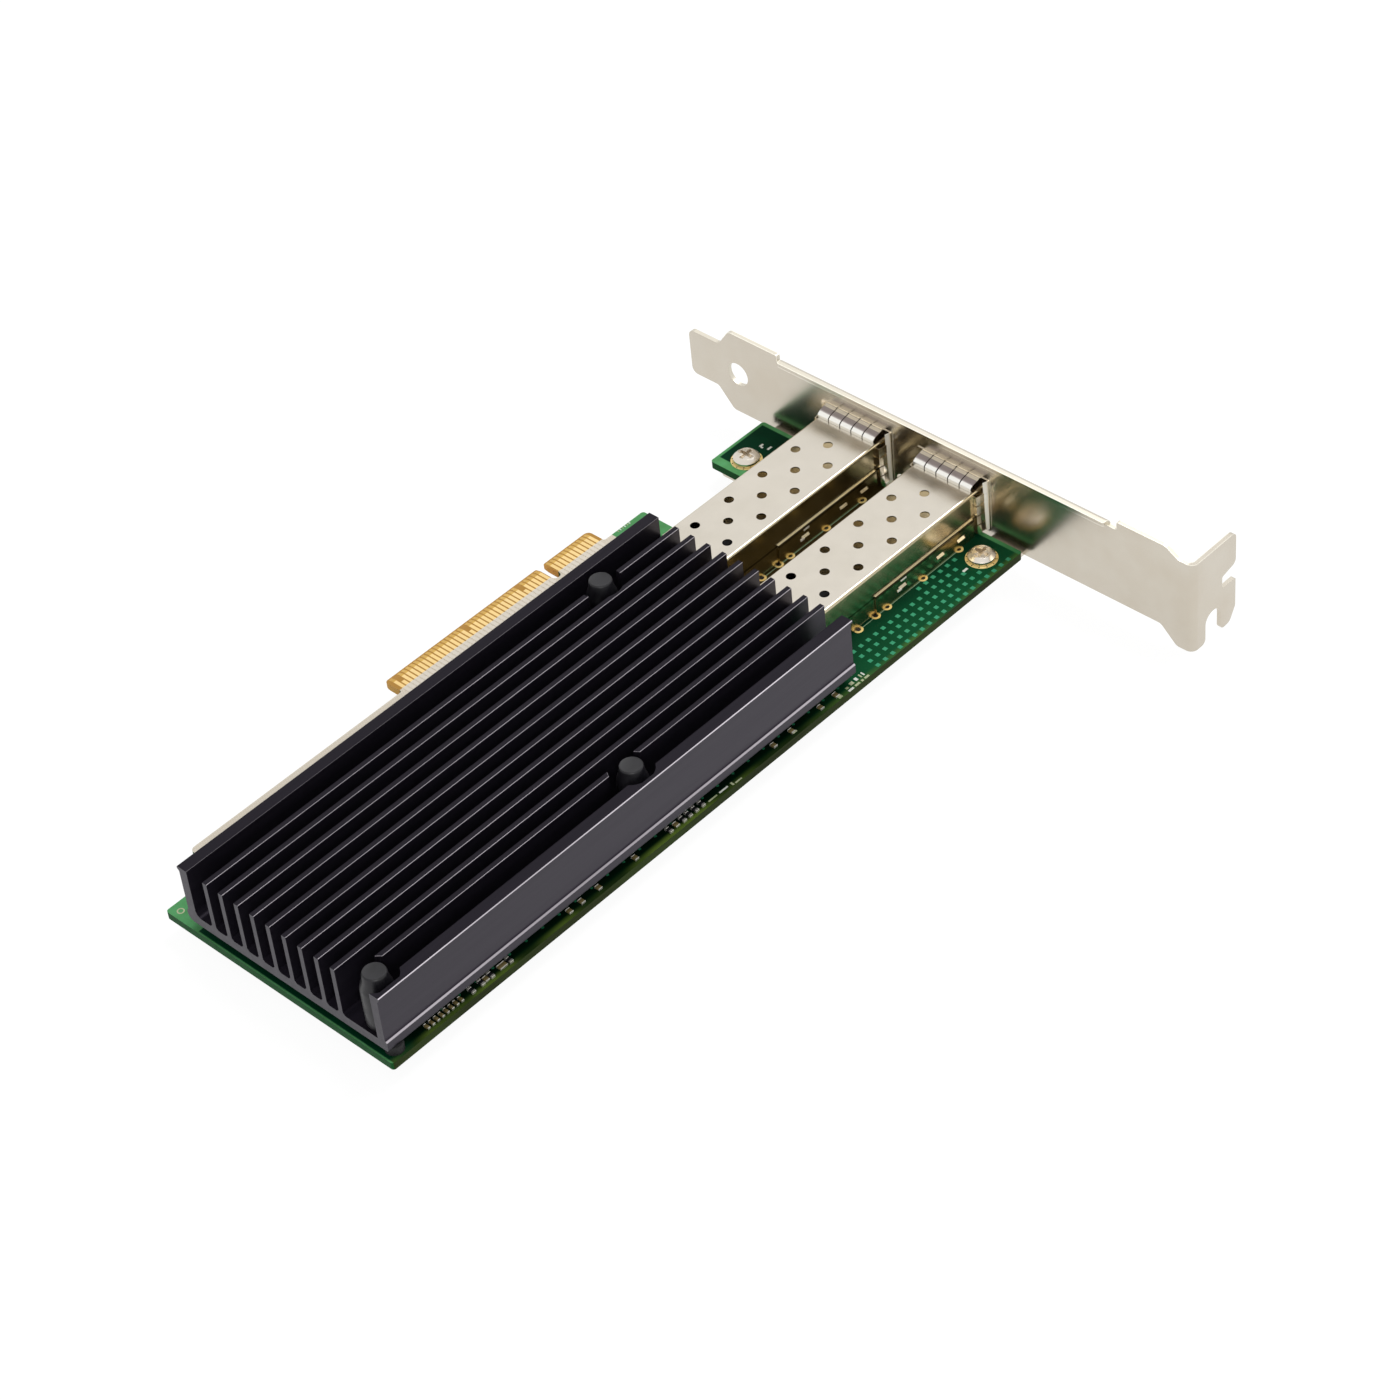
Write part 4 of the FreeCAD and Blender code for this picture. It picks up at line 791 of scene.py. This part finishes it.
class CARD_OT_cages(bpy.types.Operator):
    """Finish the module cages, collars, connectors and their tails"""

    bl_idname = "card.cages"
    bl_label = "Cage finish"

    def execute(self, context):
        want = context.scene.card_metal
        shell = self.shell(want.cage)
        spring = self.collar(want.spring)
        resin = moulded("connector resin", tone(20, 20, 22), tone(30, 30, 33), 0.5)
        tin = plated("tinned tails", tone(218, 214, 206), tone(190, 186, 176), 0.28)
        # painted highlight: a near-white, barely metallic finish for the collars' flares and the cages' latches
        bright = plated("flare edge", tone(255, 252, 240), tone(246, 240, 226), 0.3, 0.5 * MM, 0.0004 * MM, 0.1)
        flares, latches = Shape(), Shape()
        for side in SIDES:
            dress("cage_cover_" + side, shell)
            dress("cage_base_" + side, shell)
            dress("spring_collar_" + side, spring)
            dress("module_connector_" + side, resin, 0.1 * MM)
            dress("connector_tails_" + side, tin)
            self.flare(flares, side)
            self.latch(latches, side)
        flares.piece("collar_flares", "spring_metal", [bright], 40)
        latches.piece("cage_latches", "cage_metal", [bright])
        return {"FINISHED"}

    def shell(self, base):
        """Nickel silver sheet: painted shade under the collar's fingers, painted highlight along each wall's ledge."""
        made = Finish("cage nickel silver", Metallic=1.0)
        roof = made.mottle(made.noise(7 * MM, 4), tone(211, 204, 191), base)
        seam = made.band(made.axis("Z"), TOP + 3.9 * MM, TOP + 4.26 * MM)
        # painted reflection: the walls take a warmer, darker tone than the roof so that their reflection of the board
        # looks olive
        wall = made.blend(seam, tone(206, 192, 158), tone(112, 102, 78))
        ledge = made.band(made.axis("Z"), TOP + 3.5 * MM, TOP + 4.6 * MM)
        # painted highlight on the inner strip of each ledge, and painted shade on the rest of the ledge
        ledge_highlight_and_shade = made.blend(self.ledge_highlight_strips(made), tone(56, 50, 38), tone(240, 236, 222))
        surface = made.blend(made.upright(), made.blend(ledge, roof, ledge_highlight_and_shade), wall)
        # painted shade: the rounded edges between roof and walls are dimmed to narrow their highlight
        surface = made.blend(made.band(made.level(), 0.25, 0.95), surface, tone(190, 180, 154))
        # painted shade on the roof under the collar's fingers, seen through their slots
        painted_shade_under_fingers = made.times(
            made.band(made.axis("X"), along_x(-2), along_x(1.3)),
            made.band(made.axis("Z"), ROOF - 0.12 * MM, ROOF + 0.2 * MM))
        made.colour(made.blend(painted_shade_under_fingers, surface, tone(104, 92, 74)))
        made.rough(made.remap(made.noise(3 * MM), 0.25, 0.75, 0.2, 0.26))
        made.bump(made.noise(0.8 * MM, 2), 0.0005 * MM)
        return made.material

    def ledge_highlight_strips(self, made):
        """1 along the inner strip of each ledge on the cages' walls, where a highlight is painted."""
        across, strips = made.axis("Y"), 0.0
        inset, half = 0.41 * MM, 0.1 * MM
        for side in SIDES:
            low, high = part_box("cage_base_" + side)
            for middle in (low.y + inset, high.y - inset):
                strips = made.larger(strips, made.band(across, middle - half, middle + half, 0.03 * MM))
        return strips

    def collar(self, base):
        """Sprung nickel sheet, its fingers painted: a highlight on the curl, shade at the bend, pale light at the
        roots.
        """
        made = Finish("collar nickel")
        along = made.axis("X")
        above = made.band(made.axis("Z"), ROOF, ROOF + 5 * MM, 0.02 * MM)
        sheet = made.mottle(made.noise(3 * MM, 4), tone(234, 224, 206), base)
        # painted light on the fingers: pale roots, grey painted shade at the bend, a white painted highlight on the
        # curl
        roots = (-0.95, -0.2, tone(255, 244, 224))
        bend = (-0.2, 0.95, tone(182, 170, 168))
        curl = (0.95, 1.8, tone(255, 253, 246))
        fingers = 0.0
        for start, end, shade in (roots, bend, curl):
            strip = made.times(above, made.band(along, along_x(start), along_x(end), 0.08 * MM))
            sheet = made.blend(strip, sheet, shade)
            fingers = made.larger(fingers, strip)
        made.colour(sheet)
        # the fingers are mostly unmetallic so that their painted light shows whatever they reflect
        matt = made.remap(along, along_x(0.85), along_x(1.05), 0.85, 0.3)
        made.coated(made.times(fingers, matt))
        made.rough(made.remap(made.noise(2 * MM), 0.25, 0.75, 0.17, 0.21))
        made.bump(made.noise(0.5 * MM, 2), 0.0003 * MM)
        return made.material

    def flare(self, flares, side):
        """The long strip down the outer side of a collar, splayed back from the rim and narrowing downwards."""
        low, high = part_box("spring_collar_" + side)
        sheet = 0.12 * MM
        rim = along_x(-1.1)
        sections = []
        for share in (0.0, 0.1, 0.35, 0.7, 1.0):
            level = low.z + 0.5 * MM + (high.z - low.z - 0.7 * MM) * share
            bulge = 0.25 * MM * math.sin(math.pi * share) * 0.3
            reach = (0.45 + 0.4 * share) * MM
            bend, tip = rim + reach * 0.6 + bulge, rim + reach + bulge
            edge = high.y - 0.02 * MM - 0.2 * MM * share
            sections.append((
                (rim, edge - sheet, level), (rim, edge, level), (bend, edge - 0.08 * MM, level),
                (tip, edge - 0.28 * MM, level), (tip, edge - 0.28 * MM - sheet, level),
            ))
        flares.loft(sections)

    def latch(self, latches, side):
        """Short bright tabs lanced out of the cage's lower walls behind the middle."""
        low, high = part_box("cage_base_" + side)
        for wall, out in ((low.y, 1), (high.y, -1)):
            for along, rise, length in ((21.7, 3.4, 1.5), (22.9, 1.5, 1.1)):
                centre = (along_x(along), wall + out * 0.25 * MM)
                foot, head = TOP + rise * MM, TOP + (rise + 0.4) * MM
                latches.slab(centre, length * MM, 0.3 * MM, foot, head, 0.06 * MM)


class CARD_OT_heatsink(bpy.types.Operator):
    """Finish the anodised heat sink, its push pins and springs"""

    bl_idname = "card.heatsink"
    bl_label = "Heat sink finish"

    def execute(self, context):
        want = context.scene.card_metal
        low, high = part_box("heatsink")
        made = Finish("black anodising", IOR=1.5, Specular_Tint=tone(242, 229, 255))
        coat = made.mottle(made.noise(0.6 * MM, 4, (0.03, 1, 1)), want.sink, tone(26, 23, 30))
        # painted highlight: a pale line along the fins' tops and the outer wall's top at their edges towards the far
        # edge, standing in for light caught by rounded edges
        tops = made.remap(made.axis("Z"), high.z - 0.5 * MM, high.z - 0.3 * MM)
        tops = made.times(tops, made.remap(made.axis("Y"), low.y + 3 * MM, low.y + 4 * MM, 0.25, 1.0))
        outer = made.remap(made.axis("Y"), high.y - 0.3 * MM, high.y - 0.2 * MM)
        wear_and_sheen = made.times(made.crests(0.19 * MM), made.larger(tops, made.times(outer, 0.7)))
        wear_and_sheen = made.times(wear_and_sheen, made.remap(made.noise(14 * MM, 2, (0.3, 1, 1)), 0.3, 0.7, 0.6, 0.9))
        made.colour(made.blend(wear_and_sheen, coat, want.edge))
        upward = made.remap(made.heading("Z"), 0.4, 0.8)
        made.feed(made.shader.inputs["Specular IOR Level"], made.remap(upward, 0.0, 1.0, 0.43, 0.12))
        made.rough(made.remap(made.noise(1.4 * MM, 3, (0.05, 1, 1)), 0.25, 0.75, 0.3, 0.38))
        made.bump(made.noise(0.4 * MM, 3, (0.04, 1, 1)), 0.002 * MM)
        dress("heatsink", made.material)
        self.pins(moulded("pin nylon", tone(14, 13, 17), tone(22, 21, 26), 0.4, 0.5 * MM, 0.004 * MM))
        dress("pin_springs", plated("spring wire", tone(120, 116, 112), tone(92, 88, 86), 0.3))
        return {"FINISHED"}

    def pins(self, nylon):
        """The push pins with their caps drawn in above the skirt, rounded at the rim and dished on top."""
        pins = Shape()
        for low, high in solids("push_pins"):
            barb = [(0.85, low.z), (2.0, UNDER - 0.15 * MM), (1.45, UNDER - 0.1 * MM)]
            hollow = [(1.45, high.z - 3.2 * MM), (2.6, high.z - 3.2 * MM)]
            skirt = [(2.6, TOP + 3.85 * MM), (2.88, TOP + 3.85 * MM)]
            cap = [(radius, high.z - drop * MM) for radius, drop in (
                (2.88, 3.4), (2.8, 3.0), (2.3, 1.5), (2.16, 0.35), (2.05, 0.1), (1.9, 0.0), (1.6, 0.04), (0.5, 0.1))]
            profile = [(radius * MM, level) for radius, level in barb + hollow + skirt + cap]
            pins.turned((low + high) / 2, profile, 40)
        dress("push_pins", nylon)
        made = pins.piece("push_pins_moulded", "pin_plastic", [nylon], 40)
        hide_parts("push_pins")


class CARD_OT_parts(bpy.types.Operator):
    """Finish the chips and small parts, and add metal ends, chip leads and the row along the far edge"""

    bl_idname = "card.parts"
    bl_label = "Chips and small parts"

    def execute(self, context):
        want = context.scene.card_metal
        resin = moulded("chip resin", want.resin, tone(40, 40, 42), 0.55, 0.12 * MM, 0.006 * MM)
        for node in ("controller_chip", "memory_chips", "regulator_chips"):
            dress(node, resin, 0.08 * MM)
        dress("power_inductors", moulded("inductor ferrite", tone(58, 56, 56), tone(78, 75, 73), 0.6), 0.2 * MM)
        dress("corner_spacers", moulded("spacer rubber", tone(20, 20, 21), tone(34, 34, 35), 0.7))
        dress("thermal_pad", moulded("thermal pad", tone(120, 128, 140), tone(140, 146, 156), 0.8))
        dress("clock_crystal", plated("crystal can", tone(216, 212, 200), tone(190, 186, 172), 0.3), 0.15 * MM)
        dress("status_lights", moulded("light plastic", tone(206, 214, 196), tone(222, 228, 210), 0.25), 0.1 * MM)
        ceramic = moulded("capacitor ceramic", tone(116, 104, 66), tone(140, 124, 82), 0.4, 0.3 * MM, 0.002 * MM)
        dark = moulded("resistor body", tone(24, 24, 26), tone(38, 38, 40), 0.45, 0.3 * MM, 0.002 * MM)
        dress("ceramic_capacitors", ceramic, 0.06 * MM)
        dress("underside_capacitors", ceramic, 0.05 * MM)
        dress("board_resistors", dark, 0.04 * MM)
        tin = plated("part ends", tone(232, 230, 222), tone(206, 202, 192), 0.3, 0.3 * MM, 0.003 * MM, 0.7)
        self.ends(tin)
        self.leads(tin)
        self.far_row([ceramic, dark, tin])
        return {"FINISHED"}

    def ends(self, tin):
        """The tinned ends of every small two-ended part."""
        caps = Shape()
        proud = 0.02 * MM
        for node in ("ceramic_capacitors", "board_resistors", "underside_capacitors"):
            for low, high in solids(node):
                span = (high.x - low.x) * 0.24
                foot, head = (low.z - proud, high.z) if low.z < 0 else (low.z, high.z + proud)
                for x0, x1 in ((low.x - proud, low.x + span), (high.x - span, high.x + proud)):
                    caps.block((x0, low.y - proud, foot), (x1, high.y + proud, head), 0.03 * MM)
        caps.piece("part_ends", "tinned_metal", [tin])

    def leads(self, tin):
        """Bent leads along the two long sides of the memory and regulator chips."""
        feet = Shape()
        count, reach = 4, 0.9 * MM
        section = [(y * MM, z * MM) for y, z in ((-0.2, -0.1), (0.2, -0.1), (0.2, 0.05), (-0.2, 0.05))]
        for low, high in solids("memory_chips") + solids("regulator_chips"):
            top, foot = low.z + 0.5 * MM, low.z + 0.12 * MM
            for index in range(count):
                y = low.y + (index + 0.5) * (high.y - low.y) / count
                for x, out in ((low.x, -reach), (high.x, reach)):
                    line = ((x, top), (x + out * 0.35, top), (x + out * 0.6, foot), (x + out, foot))
                    feet.loft([[(px, y + dy, pz + dz) for dy, dz in section] for px, pz in line])
        feet.piece("chip_leads", "tinned_metal", [tin])

    def far_row(self, finishes):
        """Small parts between the heat sink and the far edge of the board; each stands across the edge."""
        row = Shape()
        olive, dark, tinned = range(3)
        rows = (  # places along the board, then each part's width, depth, height, ends and body, in millimetres
            ((84.4, 86.0, 87.6, 89.1, 92.4, 131.0, 135.3, 137.5, 139.7), 0.8, 1.6, 0.5, 0.45, dark),
            ((49.7, 53.7, 61.3, 65.9, 90.7, 100.8, 109.7, 113.8, 116.7, 132.2, 133.0, 136.4),
             0.9, 1.2, 0.4, 0.2, olive),
            ([142.2 + 1.1 * step for step in range(8)], 0.55, 1.3, 0.45, 0.2, olive),
        )
        for places, wide, deep, high, end, body in rows:
            for along in places:
                x, y, top = on_board(along, 61.9)
                row.slab((x, y), (wide - 0.04) * MM, (deep - 2 * end) * MM, top, top + (high - 0.03) * MM,
                         0.03 * MM, body)
                for way in (-1, 1):
                    middle = (x, y + way * (deep - end) / 2 * MM)
                    row.slab(middle, wide * MM, end * MM, top, top + high * MM, 0.04 * MM, tinned)
        row.piece("far_edge_parts", "ceramic", finishes)


class CARD_OT_studio(bpy.types.Operator):
    """Set the pale floor, soft lamps, white surroundings and the camera"""

    bl_idname = "card.studio"
    bl_label = "Studio"

    def execute(self, context):
        want = context.scene.card_studio
        scene = context.scene
        scene.view_settings.view_transform = "Standard"
        self.floor(want)
        self.world(want, scene)
        middle = (Vector(CAD_BOX[0]) + Vector(CAD_BOX[1])) / 2
        over_bracket, in_front = Vector((-0.58, 0.0, 0.94)), Vector((0.7, 0.8, 0.6))
        self.lamp("key lamp", want.key, want.key_size, middle + over_bracket, middle)
        self.lamp("front lamp", want.front, want.key_size, middle + in_front, middle)
        camera = bpy.data.objects.new("camera", bpy.data.cameras.new("camera"))
        camera.location = (0.347877, 0.412301, 0.451236)
        camera.rotation_euler = (0.8318728, 0.0866091, 2.3222277)
        camera.data.lens = 98.4657
        camera.data.sensor_width = 36
        camera.data.shift_x = 0.01912
        camera.data.shift_y = 0.00147
        camera.data.clip_start = 0.01
        scene.collection.objects.link(camera)
        scene.camera = camera
        return {"FINISHED"}

    def floor(self, want):
        """A white floor that holds soft shadows and is clear from below."""
        half, level = want.floor_size / 2, CAD_BOX[0][2]
        corners = ((-half, -half), (half, -half), (half, half), (-half, half))
        plane = bmesh.new()
        plane.faces.new([plane.verts.new((x, y, level)) for x, y in corners])
        data = bpy.data.meshes.new("floor")
        plane.to_mesh(data)
        plane.free()
        data.materials.append(self.white(want.floor_white))
        made = bpy.data.objects.new("floor", data)
        bpy.context.scene.collection.objects.link(made)

    def white(self, share):
        """A white of which a share shows even in shadow; light that only bounces off it finds a plain pale matt."""
        material = bpy.data.materials.new("white floor")
        material.use_nodes = True
        material.node_tree.nodes.clear()
        tree = Tree(material.node_tree)
        seen, bounced, lit = tree.seen(), 0.8, 1.05  # the matt's own colour, and the white where full light falls
        shade = tree.node("ShaderNodeMapRange", {"Value": seen, "To Min": bounced, "To Max": lit - share})
        paint = tree.node("ShaderNodeBsdfDiffuse", {"Color": shade.outputs[0]})
        glow = tree.node("ShaderNodeEmission", {"Strength": tree.times(seen, share)})
        both = tree.node("ShaderNodeAddShader", {0: paint.outputs[0], 1: glow.outputs[0]})
        clear = tree.node("ShaderNodeBsdfTransparent")
        below = tree.node("ShaderNodeNewGeometry").outputs["Backfacing"]
        choice = tree.node("ShaderNodeMixShader", {0: below, 1: both.outputs[0], 2: clear.outputs[0]})
        tree.node("ShaderNodeOutputMaterial", {"Surface": choice.outputs[0]})
        return material

    def world(self, want, scene):
        """White all round where it is seen, and a softer even light where it only lights."""
        room = bpy.data.worlds.new("white room")
        room.use_nodes = True
        scene.world = room
        tree = Tree(room.node_tree)
        back = room.node_tree.nodes["Background"]
        back.inputs["Color"].default_value = (1, 1, 1, 1)
        strength = tree.node("ShaderNodeMapRange", {"Value": tree.seen(), "To Min": want.sky, "To Max": 1.0})
        tree.feed(back.inputs["Strength"], strength.outputs[0])

    def lamp(self, name, power, size, place, target):
        """A square lamp that faces its target."""
        data = bpy.data.lights.new(name, "AREA")
        data.energy = power
        data.size = size
        made = bpy.data.objects.new(name, data)
        made.location = place
        made.rotation_euler = (target - place).to_track_quat("-Z", "Y").to_euler()
        bpy.context.scene.collection.objects.link(made)


PIECES = (
    CARD_OT_board, CARD_OT_copper, CARD_OT_rings, CARD_OT_print, CARD_OT_bracket,
    CARD_OT_cages, CARD_OT_heatsink, CARD_OT_parts, CARD_OT_studio,
)


class CARD_PT_panel(bpy.types.Panel):
    """Lists the card's pieces and their settings"""

    bl_label = "Network interface card"
    bl_idname = "CARD_PT_panel"
    bl_space_type = "VIEW_3D"
    bl_region_type = "UI"
    bl_category = "Network Card"

    def draw(self, context):
        for piece in PIECES:
            self.layout.operator(piece.bl_idname)
        for group in (context.scene.card_board, context.scene.card_metal, context.scene.card_studio):
            box = self.layout.box()
            for name in group.__annotations__:
                box.prop(group, name)


SETTINGS = (CardBoardSettings, CardMetalSettings, CardStudioSettings)


def register():
    for cls in SETTINGS + PIECES + (CARD_PT_panel,):
        bpy.utils.register_class(cls)
    bpy.types.Scene.card_board = PointerProperty(type=CardBoardSettings)
    bpy.types.Scene.card_metal = PointerProperty(type=CardMetalSettings)
    bpy.types.Scene.card_studio = PointerProperty(type=CardStudioSettings)


def unregister():
    del bpy.types.Scene.card_board
    del bpy.types.Scene.card_metal
    del bpy.types.Scene.card_studio
    for cls in reversed(SETTINGS + PIECES + (CARD_PT_panel,)):
        bpy.utils.unregister_class(cls)


def main():
    register()
    bpy.ops.card.board()
    bpy.ops.card.copper()
    bpy.ops.card.rings()
    bpy.ops.card.print()
    bpy.ops.card.bracket()
    bpy.ops.card.cages()
    bpy.ops.card.heatsink()
    bpy.ops.card.parts()
    bpy.ops.card.studio()


if __name__ == "__main__":
    main()
